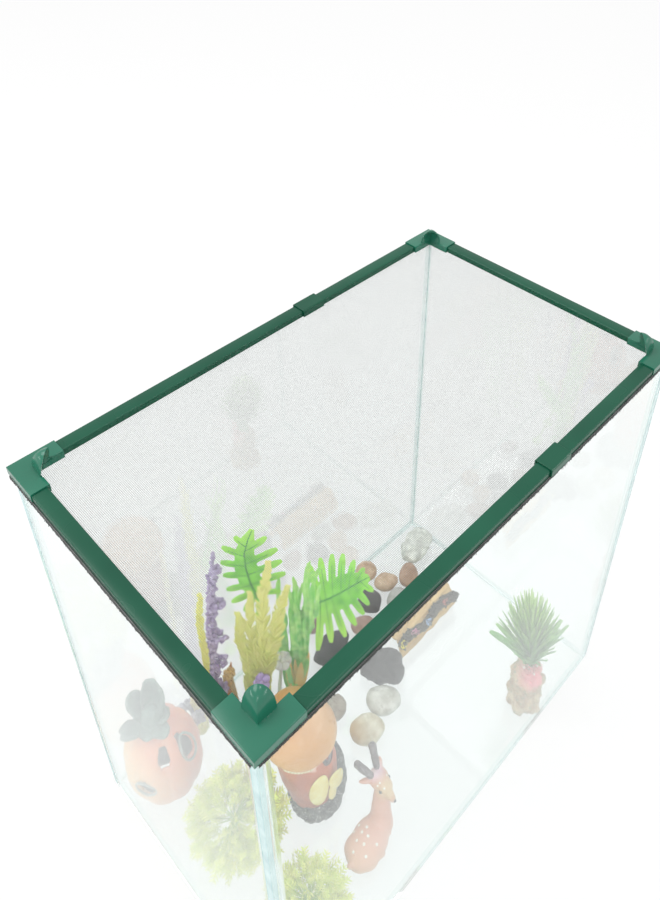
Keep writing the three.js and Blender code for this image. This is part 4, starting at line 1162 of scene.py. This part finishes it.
# blades: root and tip from the plant's foot, and width
fronds = {
    "lime_frond_plant": {
        "blades": [((0, 0), (16, -16, 238), 21), ((3, -3), (26, -27, 206), 20), ((-3, 3), (-5, 6, 167), 15),
                   ((2, 4), (12, -2, 150), 15), ((1, -4), (19, -21, 172), 18), ((0, 2), (4, -2, 196), 15)],
        "foot": 9, "rows": 46, "tones": ((0.72, 0.92, 0.1), (1.0, 0.98, 0.32)),
    },
    "lime_frond_small": {
        "blades": [((4, -4), (12, -9, 209), 8), ((0, 0), (0, 3, 118), 7), ((0, 0), (6, 2, 84), 7)],
        "foot": 6, "rows": 34, "tones": ((0.72, 0.76, 0.12), (0.98, 0.92, 0.3)),
    },
}
frondTip = (1.0, 0.95, 0.28)
frondCeiling = 240


def makeFronds():
    rnd = random.Random(12)
    for name, plant in fronds.items():
        x, y = plantFeet[name]
        bm = bmesh.new()
        plantFoot(bm, (x, y), plant["foot"], 5)
        for start, end, width in plant["blades"]:
            path = stem(name, start, end, 0.04, 14)
            path = [p + facing * (1.2 * mm * sin(i * 0.9 + width)) for i, p in enumerate(path)]
            path[-1] = spot(x + end[0], y + end[1], end[2] - 6)
            leafyFrond(bm, path, width, plant["rows"], rnd)
        keepBelow(bm, spot(0, 0, frondCeiling).z)
        finish = plantFinish(name + "Leaf", *plant["tones"], tip=frondTip, low=20, high=230, spread=210.0)
        pieceFromBm(name + "_leaves", bm, finish, [name], doubles=0, thick=0.6)


ribbons = [((0, 0), (4, -5, 188), 10), ((3, -2), (13, -15, 199), 9), ((-3, 2), (-6, 4, 176), 9),
           ((2, 3), (8, -4, 168), 8), ((-2, -2), (0, -10, 160), 9), ((1, -3), (18, -12, 182), 8),
           ((-4, 0), (-12, 0, 150), 8), ((3, 1), (20, -22, 168), 8), ((5, -5), (9, -12, 120), 8),
           ((-5, 4), (-8, 8, 128), 8), ((0, 0), (8, -9, 178), 8), ((2, -2), (3, -1, 162), 8),
           ((4, -4), (15, -18, 152), 8), ((-2, 2), (10, -7, 142), 8), ((1, -5), (22, -16, 186), 8)]
ribbonWave = {"across": 1.7, "deep": 4.2, "fullness": 0.74, "waist": 0.22}
# place, height and width of each orange-yellow shoot between the ribbons
shoots = [(-43, 60, 74, 7.5), (-35, 50, 66, 8), (-40, 64, 62, 6), (-30, 53, 62, 6), (-27, 48, 76, 5), (-38, 56, 68, 5)]


def makeRibbons():
    rnd = random.Random(21)
    x, y = plantFeet["ribbon_plant"]
    bm = bmesh.new()
    plantFoot(bm, (x, y), 9, 5)
    across, deep, waist = [ribbonWave[k] for k in ("across", "deep", "waist")]
    for start, end, width in ribbons:
        phase = rnd.uniform(0, 6)
        path = stem("ribbon_plant", start, end, 0.05, 30)
        path = [p + (facing * sin(i * 0.5 + phase) * across + sideways * sin(i * 0.45 + phase) * deep) * mm
                for i, p in enumerate(path)]
        full = ribbonWave["fullness"] * width
        widths = [full * (0.3 + 0.7 * sin(pi * min(1, i / 30 * 0.8 + 0.12))) for i in range(31)]
        widths = [w * (1 + waist * sin(i * 1.7 + phase)) for i, w in enumerate(widths)]
        widths[-1] = 0.6
        strip(bm, path, widths, facing, cup=1.1, across=4)
    finish = plantFinish("ribbonLeaf", (0.1, 0.7, 0.1), (0.6, 1.0, 0.3), tip=(0.6, 0.95, 0.2), spread=180.0)
    pieceFromBm("ribbon_leaves", bm, finish, ["ribbon_plant"], doubles=0, thick=0.7, levels=1)

    bm = bmesh.new()
    for px, py, height, width in shoots:
        root = spot(x + (px - x) * 0.4, y + (py - y) * 0.4, 4)
        blade(bm, root, spot(px, py, height), facing * rnd.uniform(-1, 1) * mm, (0.5, 0.8, 1, 1, 1, 0.9, 0.6, 0.1),
              width, facing, cup=0.5)
    finish = plantFinish("shootLeaf", (1.0, 0.6, 0.05), (1.0, 0.86, 0.26))
    pieceFromBm("ribbon_shoots", bm, finish, doubles=0, thick=0.6, levels=1)


# Split leaves: lobe tips and rib points across and along the blade, in mm from its heel
leaves = {
    "split_leaf_plant_left": {
        "heel": (-2, -12, 160), "rib": (0.09, 0.33, 0.94), "spread": (0.69, -0.72, 0), "bow": (-6, -4, 8),
        "line": [(0, -2), (-4, 12), (-5, 28), (-3, 44), (3, 57), (8, 65)], "heart": [13, 20, 20, 17, 11, 4],
        "tips": [(-8.3, 61, 50), (-20.8, 53, 41), (-25.1, 38.2, 31), (-25.9, 24.7, 21), (-25.9, 9.7, 11),
                 (-24, -2.9, 3), (-15, -14, 0), (18.5, 56.3, 46), (25.5, 43.7, 33), (27, 31, 22), (27.5, 18.3, 12),
                 (21.2, 2, 3)],
    },
    "split_leaf_plant_right": {
        "heel": (16, -21, 108), "rib": (0.8, -0.565, 0.22), "spread": (0.25, 0.63, 0.73), "bow": (-6, -4, 8),
        "line": [(0, -2), (1, 8), (3, 20), (6, 33), (8, 43), (9, 50)], "heart": [18, 27, 29, 24, 15, 5],
        "tips": [(36.7, -2, 1), (38.1, 10.5, 6), (38.3, 22, 13), (35.8, 32, 21), (27.5, 40.6, 29), (18, 47.6, 37),
                 (-4.5, 50.2, 41), (-15.2, 43, 34), (-22, 36, 27), (-29.4, 26.2, 19), (-36.5, 14.2, 11),
                 (-37.9, 0, 5), (-41, -14, 0)],
    },
}
leafTones = {"dark": (0.1, 0.52, 0.003), "light": (0.25, 0.82, 0.02), "edge": (0.52, 0.95, 0.1),
             "veinDark": (0.03, 0.3, 0.01), "veinLight": (0.08, 0.45, 0.03)}
leafCurl = {"across": -0.0035, "share": 0.25, "wave": 0.6, "rate": 0.09}
veinRise = 0.62
lobeShape = (10, 9, 7.4, 6.2, 5.9, 6.2, 6.2, 5.2, 2.8)  # width along a lobe, for one of average reach
towardsViewer = Vector((-0.5, -0.5, 0.7))


def makeSplitLeaves():
    for name, leaf in leaves.items():
        x, y = plantFeet[name]
        heel = spot(x + leaf["heel"][0], y + leaf["heel"][1], leaf["heel"][2])
        along = Vector(leaf["rib"]).normalized()
        spread = Vector(leaf["spread"])
        spread = (spread - along * spread.dot(along)).normalized()
        lift = along.cross(spread)
        ribSide = 1 if lift.dot(towardsViewer) > 0 else -1

        def onBlade(u, v, rise=0.0):
            curl = leafCurl["across"] * u * u * leafCurl["share"] + leafCurl["wave"] * sin(v * leafCurl["rate"])
            return heel + (spread * u + along * v + lift * (rise + curl)) * mm

        def ribAt(v):
            line = leaf["line"]
            for a, b in zip(line, line[1:]):
                if v <= b[1]:
                    return a[0] + (b[0] - a[0]) * (v - a[1]) / (b[1] - a[1])
            return line[-1][0]

        bm = bmesh.new()
        line = [onBlade(u, v) for u, v in leaf["line"]]
        strip(bm, line, leaf["heart"], spread, across=6)
        veins = []
        for u, v, root in leaf["tips"]:
            start = (ribAt(root), root)
            bend = (start[0] + (u - start[0]) * 0.45, start[1] + (v - start[1]) * 0.3)
            spine = [[curved(*ends, i / 8) for ends in zip(start, bend, (u, v))] for i in range(9)]
            path = [onBlade(*p) for p in spine]
            veins.append([onBlade(*p, veinRise * ribSide) for p in spine[:7]])
            reach = (path[-1] - path[0]).length
            side = lift.cross(path[-1] - path[0]).normalized()
            strip(bm, path, [k * (0.8 + reach * 9) for k in lobeShape], side, across=4)
        for face in bm.faces:
            if face.normal.dot(lift) * ribSide < 0:
                face.normal_flip()
        bmesh.ops.solidify(bm, geom=bm.faces[:], thickness=1.5 * mm)
        bm = melted(bm, 0.55, 3)
        stalk = bowed(spot(x, y, 2), heel, Vector(leaf["bow"]) * mm, 14)
        tube(bm, stalk, 1.3, 2)
        plantFoot(bm, (x, y), 6, 4)
        threads = bmesh.new()
        for vein in veins:
            tube(threads, vein, [0.36 - 0.03 * i for i in range(len(vein))])
        tube(threads, [onBlade(u, v, 0.7 * ribSide) for u, v in leaf["line"]], [0.9, 0.8, 0.7, 0.6, 0.5, 0.3], 2)
        vein = plantFinish(name + "Vein", leafTones["veinDark"], leafTones["veinLight"])
        pieceFromBm(name + "_veins", threads, vein)
        finish = plantFinish(name + "Leaf", leafTones["dark"], leafTones["light"], rough=0.36, spread=95.0)
        washNear(finish, onBlade(ribAt(26), 26), 12, 42, leafTones["edge"], 0.0, 0.9)
        pieceFromBm(name + "_blade", bm, finish, [name])


# Purple spike: a thin stem crowded with small florets, in lumps that stand out to one side
spike = {"height": 236, "lean": (14, -9), "rows": 44, "perRow": 12, "radius": 5.2, "lowest": 14, "bare": 18,
         "tip": 0.86, "tipFlorets": 5, "narrowing": 0.35, "swelling": 0.16, "swellings": 1.9,
         "lumps": [(212, 3.8), (168, 6.2), (120, 7.4), (82, 7.2), (40, 6.6)], "lumpFlorets": 24}
cluster = {"at": (-121, 104, 27), "radius": 11, "florets": 90, "stems": (0.4, 1.6, 2.6, 3.8, 5.2)}
# little blossoms among the plant feet: places, size and colour
blossoms = {
    "lilac": ([(-71, 65, 60), (-74, 60, 70), (-78, 55, 80), (-70, 66, 56), (-74, 62, 50)], 7, (0.6, 0.42, 0.86)),
    "white": ([(-48, 62, 70), (-45, 66, 60), (-51, 57, 80), (-43, 70, 52)], 7.5, (0.98, 0.98, 0.94)),
    "rose": ([(-86, 97, 50), (-84, 98, 46), (-87, 95, 44), (-83, 96, 52)], 4.4, (0.8, 0.5, 0.12)),
}
brownLeaves = [((-90, 98, 5), (-76, 104, 52), 9), ((-94, 94, 5), (-88, 94, 48), 7)]  # root, tip and width


def spikePoint(z):
    share = (z / spike["height"]) ** 2
    x, y = [a + b * share for a, b in zip(plantFeet["purple_spike_plant"], spike["lean"])]
    return spot(x, y, z)


def makeSpike():
    rnd = random.Random(5)
    bm = bmesh.new()
    plantFoot(bm, plantFeet["purple_spike_plant"], 9, 5)
    high = spike["height"]
    tube(bm, [spikePoint(2 + (high - 3) * i / 16) for i in range(17)], [1.9 - 0.09 * i for i in range(17)])
    pattern = bmesh.new()
    bmesh.ops.create_icosphere(pattern, subdivisions=1, radius=1)
    bmesh.ops.transform(pattern, matrix=Matrix.Diagonal((1, 1, 1.35, 1)), verts=pattern.verts)
    floret = meshFrom(pattern, "floret")

    def addFloret(middle, reach, size):
        out = around(rnd.uniform(0, tau), reach * rnd.uniform(0.5, 1.0), rnd.uniform(-0.6, 0.6) * reach)
        place = middle + out * mm
        place.z = min(place.z, spot(0, 0, high - 2).z)
        stamp(bm, floret, aimed(place, out + Vector((0, 0, 2)), rnd.random(), size * rnd.uniform(0.8, 1.25) * mm))

    for k in range(spike["rows"]):
        z = spike["lowest"] + (high - spike["bare"]) * k / (spike["rows"] - 1)
        share = z / high
        tapered = share >= spike["tip"]
        size = spike["radius"] * ((1 - share) * 2 if tapered else 1 - spike["narrowing"] * share)
        size = (size + (0.7 if tapered else 0)) * (1 + spike["swelling"] * sin(k * spike["swellings"]))
        for i in range(spike["tipFlorets"] if tapered else spike["perRow"]):
            addFloret(spikePoint(z), size, 1.9 - 0.5 * share)
    for z, size in spike["lumps"]:
        middle = spikePoint(z) + (facing * size * 0.95 + Vector((0, 0, 1))) * mm
        for i in range(spike["lumpFlorets"]):
            addFloret(middle, size * 0.8, 1.8)
    finish = plantFinish("spikeFloret", (0.3, 0.2, 0.42), (0.62, 0.5, 0.74), tip=(0.5, 0.46, 0.56), low=180,
                         high=300, spread=170.0)
    pieceFromBm("purple_spike_florets", bm, finish, ["purple_spike_plant"], doubles=0)

    # a low grey-lilac cluster of the same plant
    bm = bmesh.new()
    x, y, z = cluster["at"]
    for i in range(cluster["florets"]):
        addFloret(spot(x, y, z), cluster["radius"], 2.6)
    for turn in cluster["stems"]:
        tube(bm, bowed(spot(x + 5, y - 2, 6), spot(x, y, 20) + around(turn, 7, 12) * mm, Vector(), 5), 0.8)
    finish = plantFinish("clusterFloret", (0.2, 0.2, 0.28), (0.46, 0.45, 0.54), spread=200.0)
    pieceFromBm("lilac_cluster", bm, finish, doubles=0)
    bpy.data.meshes.remove(floret)

    for name, (places, size, tint) in blossoms.items():
        bm = bmesh.new()
        for px, py, pz in places:
            up = Vector((rnd.uniform(-0.7, 0.2), rnd.uniform(-0.9, -0.2), 0.9)).normalized()
            flower(bm, spot(px, py, pz), up, size, rnd.random())
            tube(bm, bowed(spot(px * 0.8 - 15, py * 0.8 + 15, 3), spot(px, py, pz), Vector((0, 0, 0.004)), 8), 0.6)
        finish = plantFinish(name + "Blossom", [c * 0.6 for c in tint], tint, spread=500.0)
        pieceFromBm(name + "_blossoms", bm, finish, doubles=0, thick=0.5)
    bm = bmesh.new()
    for root, tip, width in brownLeaves:
        blade(bm, spot(*root), spot(*tip), Vector((-0.002, -0.002, 0)), (0.3, 0.7, 1, 1, 0.8, 0.5, 0.08), width,
              facing, cup=0.8)
    finish = plantFinish("brownLeaf", (0.42, 0.14, 0.03), (0.66, 0.3, 0.08))
    pieceFromBm("brown_leaf", bm, finish, doubles=0, thick=0.6, levels=1)


# Bushes: balls of small fern sprigs
bushes = {
    "bush_left": {"at": (-149, 2), "radius": 35, "centre": 42, "sprigs": 470,
                  "tones": ((0.6, 0.74, 0.02), (0.98, 0.96, 0.2))},
    "bush_front": {"at": (-143, -74), "radius": 26, "centre": 23, "sprigs": 260,
                   "tones": ((0.6, 0.74, 0.05), (0.98, 0.96, 0.3))},
}
# painted shade: the darker green given to sprigs towards the middle of the bush
bushPaintedShade = (0.3, 0.52, 0.03)  # the darker green inside
sprigRanges = {"reach": (0.5, 0.82), "tilt": 0.5, "rise": 0.35, "scale": (0.75, 1.1)}
twigs = {"count": 26, "reach": 0.6, "thick": 0.7}


def sprigPattern():
    bm = bmesh.new()
    blade(bm, Vector((0, 0, 0)), Vector((0, 0, 0.016)), Vector((0, 0.0015, 0)), (1.1, 1.5, 1.6, 1.2, 0.2), 1,
          Vector((1, 0, 0)), cup=0.3)
    for k in range(4):
        rise = 3.5 + k * 2.9
        reach = 6.4 - k * 0.8
        for hand in (-1, 1):
            root = Vector((0, 0, rise)) * mm
            end = root + Vector((hand * reach * 0.85, 0.8, reach * 0.7)) * mm
            blade(bm, root, end, Vector((0, 0.0006, 0)), (0.7, 1.5, 1.2, 0.1), 1, Vector((0.6, 0, -hand * 0.7)),
                  cup=0.2, across=1)
    return meshFrom(bm, "sprig")


def makeBushes():
    rnd = random.Random(9)
    sprig = sprigPattern()
    for name, bush in bushes.items():
        bm = bmesh.new()
        x, y = bush["at"]
        centre = spot(x, y, bush["centre"])
        plantFoot(bm, (x, y), 12, 6)
        tube(bm, [spot(x, y, 3), centre], 2.4)
        for i in range(bush["sprigs"]):
            rise = rnd.uniform(-0.85, 1)
            level = sqrt(1 - rise * rise)
            way = around(rnd.uniform(0, tau), level, rise)
            reach = bush["radius"] * rnd.uniform(*sprigRanges["reach"])
            place = centre + Vector((way.x, way.y, way.z * min(1, bush["centre"] / bush["radius"]))) * reach * mm
            tilt = sprigRanges["tilt"]
            lean = way + Vector((rnd.uniform(-tilt, tilt), rnd.uniform(-tilt, tilt), sprigRanges["rise"]))
            stamp(bm, sprig, aimed(place, lean.normalized(), rnd.uniform(0, tau), rnd.uniform(*sprigRanges["scale"])))
        for i in range(twigs["count"]):
            way = around(rnd.uniform(0, tau), 1, rnd.uniform(-0.3, 1.4)).normalized()
            tube(bm, [centre, centre + way * bush["radius"] * twigs["reach"] * mm], twigs["thick"], 0)
        keepAbove(bm)
        finish = plantFinish(name + "Leaf", *bush["tones"], spread=150.0, rough=0.4)
        # painted shade: sprigs nearer the bush's middle get the darker green
        washNear(finish, centre, bush["radius"] * 0.3, bush["radius"] * 0.85, bushPaintedShade)
        pieceFromBm(name + "_sprigs", bm, finish, [name], doubles=0)
    bpy.data.meshes.remove(sprig)


# Grass tuft on its rock
tuft = {"at": (115, -96), "blades": 150, "height": 96, "spread": 30, "lean": (2, 12),
        "rock": [(0, 0), (15, 0), (15.5, 12), (12, 26), (13.5, 38), (11, 50), (8, 60), (0, 60.2)], "rockTop": 60.2,
        "lumps": [((7, -6, 9), (8, 7, 9)), ((-8, 5, 30), (7, 7, 10)), ((7, 6, 42), (6, 6, 8)),
                  ((-9, -8, 14), (7, 6, 8)), ((9, -8, 32), (6, 6, 7))],  # place and radii
        "blush": {"at": (-5, -10, 52), "near": 6, "far": 20, "tint": (0.85, 0.24, 0.27)},
        "bladeShape": (0.9, 1, 1.05, 1.05, 1, 0.92, 0.8, 0.55, 0.08),
        "strays": [((113, -92, 64), (97, -60, 92), 6), ((112, -93, 64), (96, -66, 112), 4.5),
                   ((118, -99, 64), (138, -107, 116), 4.5), ((117, -100, 64), (143, -112, 108), 3.5)],
        "florets": 14, "moss": 70}


def makeTuft():
    rnd = random.Random(14)
    base = spot(*tuft["at"])
    bm = bmesh.new()
    spun(bm, tuft["rock"], base, 30)
    weld(bm)
    for place, radii in tuft["lumps"]:
        ball(bm, base + Vector(place) * mm, radii)
    bm = melted(bm, 1.0, 2)
    roughen(bm, (6.0, 10, 2), (2.4, 4.5, 4), (0.9, 1.8, 6))
    keepAbove(bm)
    keepBelow(bm, base.z + tuft["rockTop"] * mm)
    rock = mottled("tuftRockPaint", (0.32, 0.17, 0.08), (0.68, 0.52, 0.3), rough=0.75, spread=120.0, fine=600.0,
                   bump=0.6, depth=0.4, specked={"scale": 330.0, "amount": 0.34, "colour": (0.24, 0.27, 0.15)})
    blush = tuft["blush"]
    washNear(rock, base + Vector(blush["at"]) * mm, blush["near"], blush["far"], blush["tint"])
    pieceFromBm("tuft_rock_body", bm, rock, ["tuft_rock"])

    bm = bmesh.new()
    crown = base + Vector((0, 0, tuft["rockTop"] + 0.4)) * mm
    plantFoot(bm, tuft["at"], 6, 4)
    bmesh.ops.translate(bm, verts=bm.verts, vec=Vector((0, 0, tuft["rockTop"] + 0.2)) * mm)
    for i in range(tuft["blades"]):
        turn = i * 2.4 + rnd.uniform(-0.2, 0.2)
        tilt = (i / tuft["blades"]) ** 0.6
        out = tuft["spread"] * tilt * rnd.uniform(0.85, 1.08)
        rise = tuft["height"] * sqrt(max(0.06, 1 - (tilt * 0.9) ** 2)) * rnd.uniform(0.82, 0.98)
        root = crown + around(turn, 3.6 * tilt, 1.5) * mm
        end = crown + (around(turn, out, rise) + Vector((*tuft["lean"], 0)) * (rise / tuft["height"])) * mm
        side = Vector((-sin(turn), cos(turn), 0))
        blade(bm, root, end, (around(turn, -2.5) + Vector((0, 0, 2))) * mm, tuft["bladeShape"], rnd.uniform(2.4, 3.4),
              side, cup=0.45)
    for root, tip, width in tuft["strays"]:
        blade(bm, spot(*root), spot(*tip), Vector((0, 0, 0.004)), (0.7, 1, 1, 1, 1, 0.9, 0.5), width, facing, cup=0.4)
    grass = plantFinish("tuftGrassLeaf", (0.08, 0.32, 0.05), (0.2, 0.54, 0.12), tip=(0.58, 0.8, 0.16), low=90,
                        high=175)
    pieceFromBm("tuft_blades", bm, grass, ["tuft_grass"], doubles=0, thick=0.5)

    bm = bmesh.new()
    for i in range(tuft["florets"]):
        place = crown + around(rnd.uniform(-3.2, 0.4), rnd.uniform(6, 12), rnd.uniform(2, 10)) * mm
        ball(bm, place, rnd.uniform(0.8, 1.3), fineness=2)
    white = plantFinish("tuftFloret", (0.7, 0.7, 0.62), (0.88, 0.88, 0.82))
    pieceFromBm("tuft_florets", bm, white)

    # pink moss at the foot of the blades, on the front side
    bm = bmesh.new()
    for i in range(tuft["moss"]):
        turn = rnd.uniform(-3.3, -1.2)
        root = crown + around(turn, rnd.uniform(4, 9), rnd.uniform(-6, 5)) * mm
        end = root + around(turn + rnd.uniform(-0.6, 0.6), rnd.uniform(3, 7), rnd.uniform(2, 9)) * mm
        blade(bm, root, end, Vector((0, 0, 0.001)), (1, 1.5, 1.2, 0.2), 1,
              Vector((-sin(turn), cos(turn), 0)), cup=0.2, across=1)
    pink = plantFinish("tuftMoss", (0.8, 0.22, 0.24), (0.95, 0.46, 0.44))
    pieceFromBm("tuft_moss", bm, pink, doubles=0, thick=0.4)


makeCamera()
makeStage()
print("camera and stage made")
dressTank()
print("tank dressed")
dressLidFrame()
makeScreen()
makeFringe()
dressSpline()
print("lid made")
makePebbles()
makeHut()
makePumpkin()
makeFawn()
makeLog()
print("ornaments made")
makeFronds()
makeRibbons()
makeSplitLeaves()
makeSpike()
makeBushes()
makeTuft()
print("plants made")
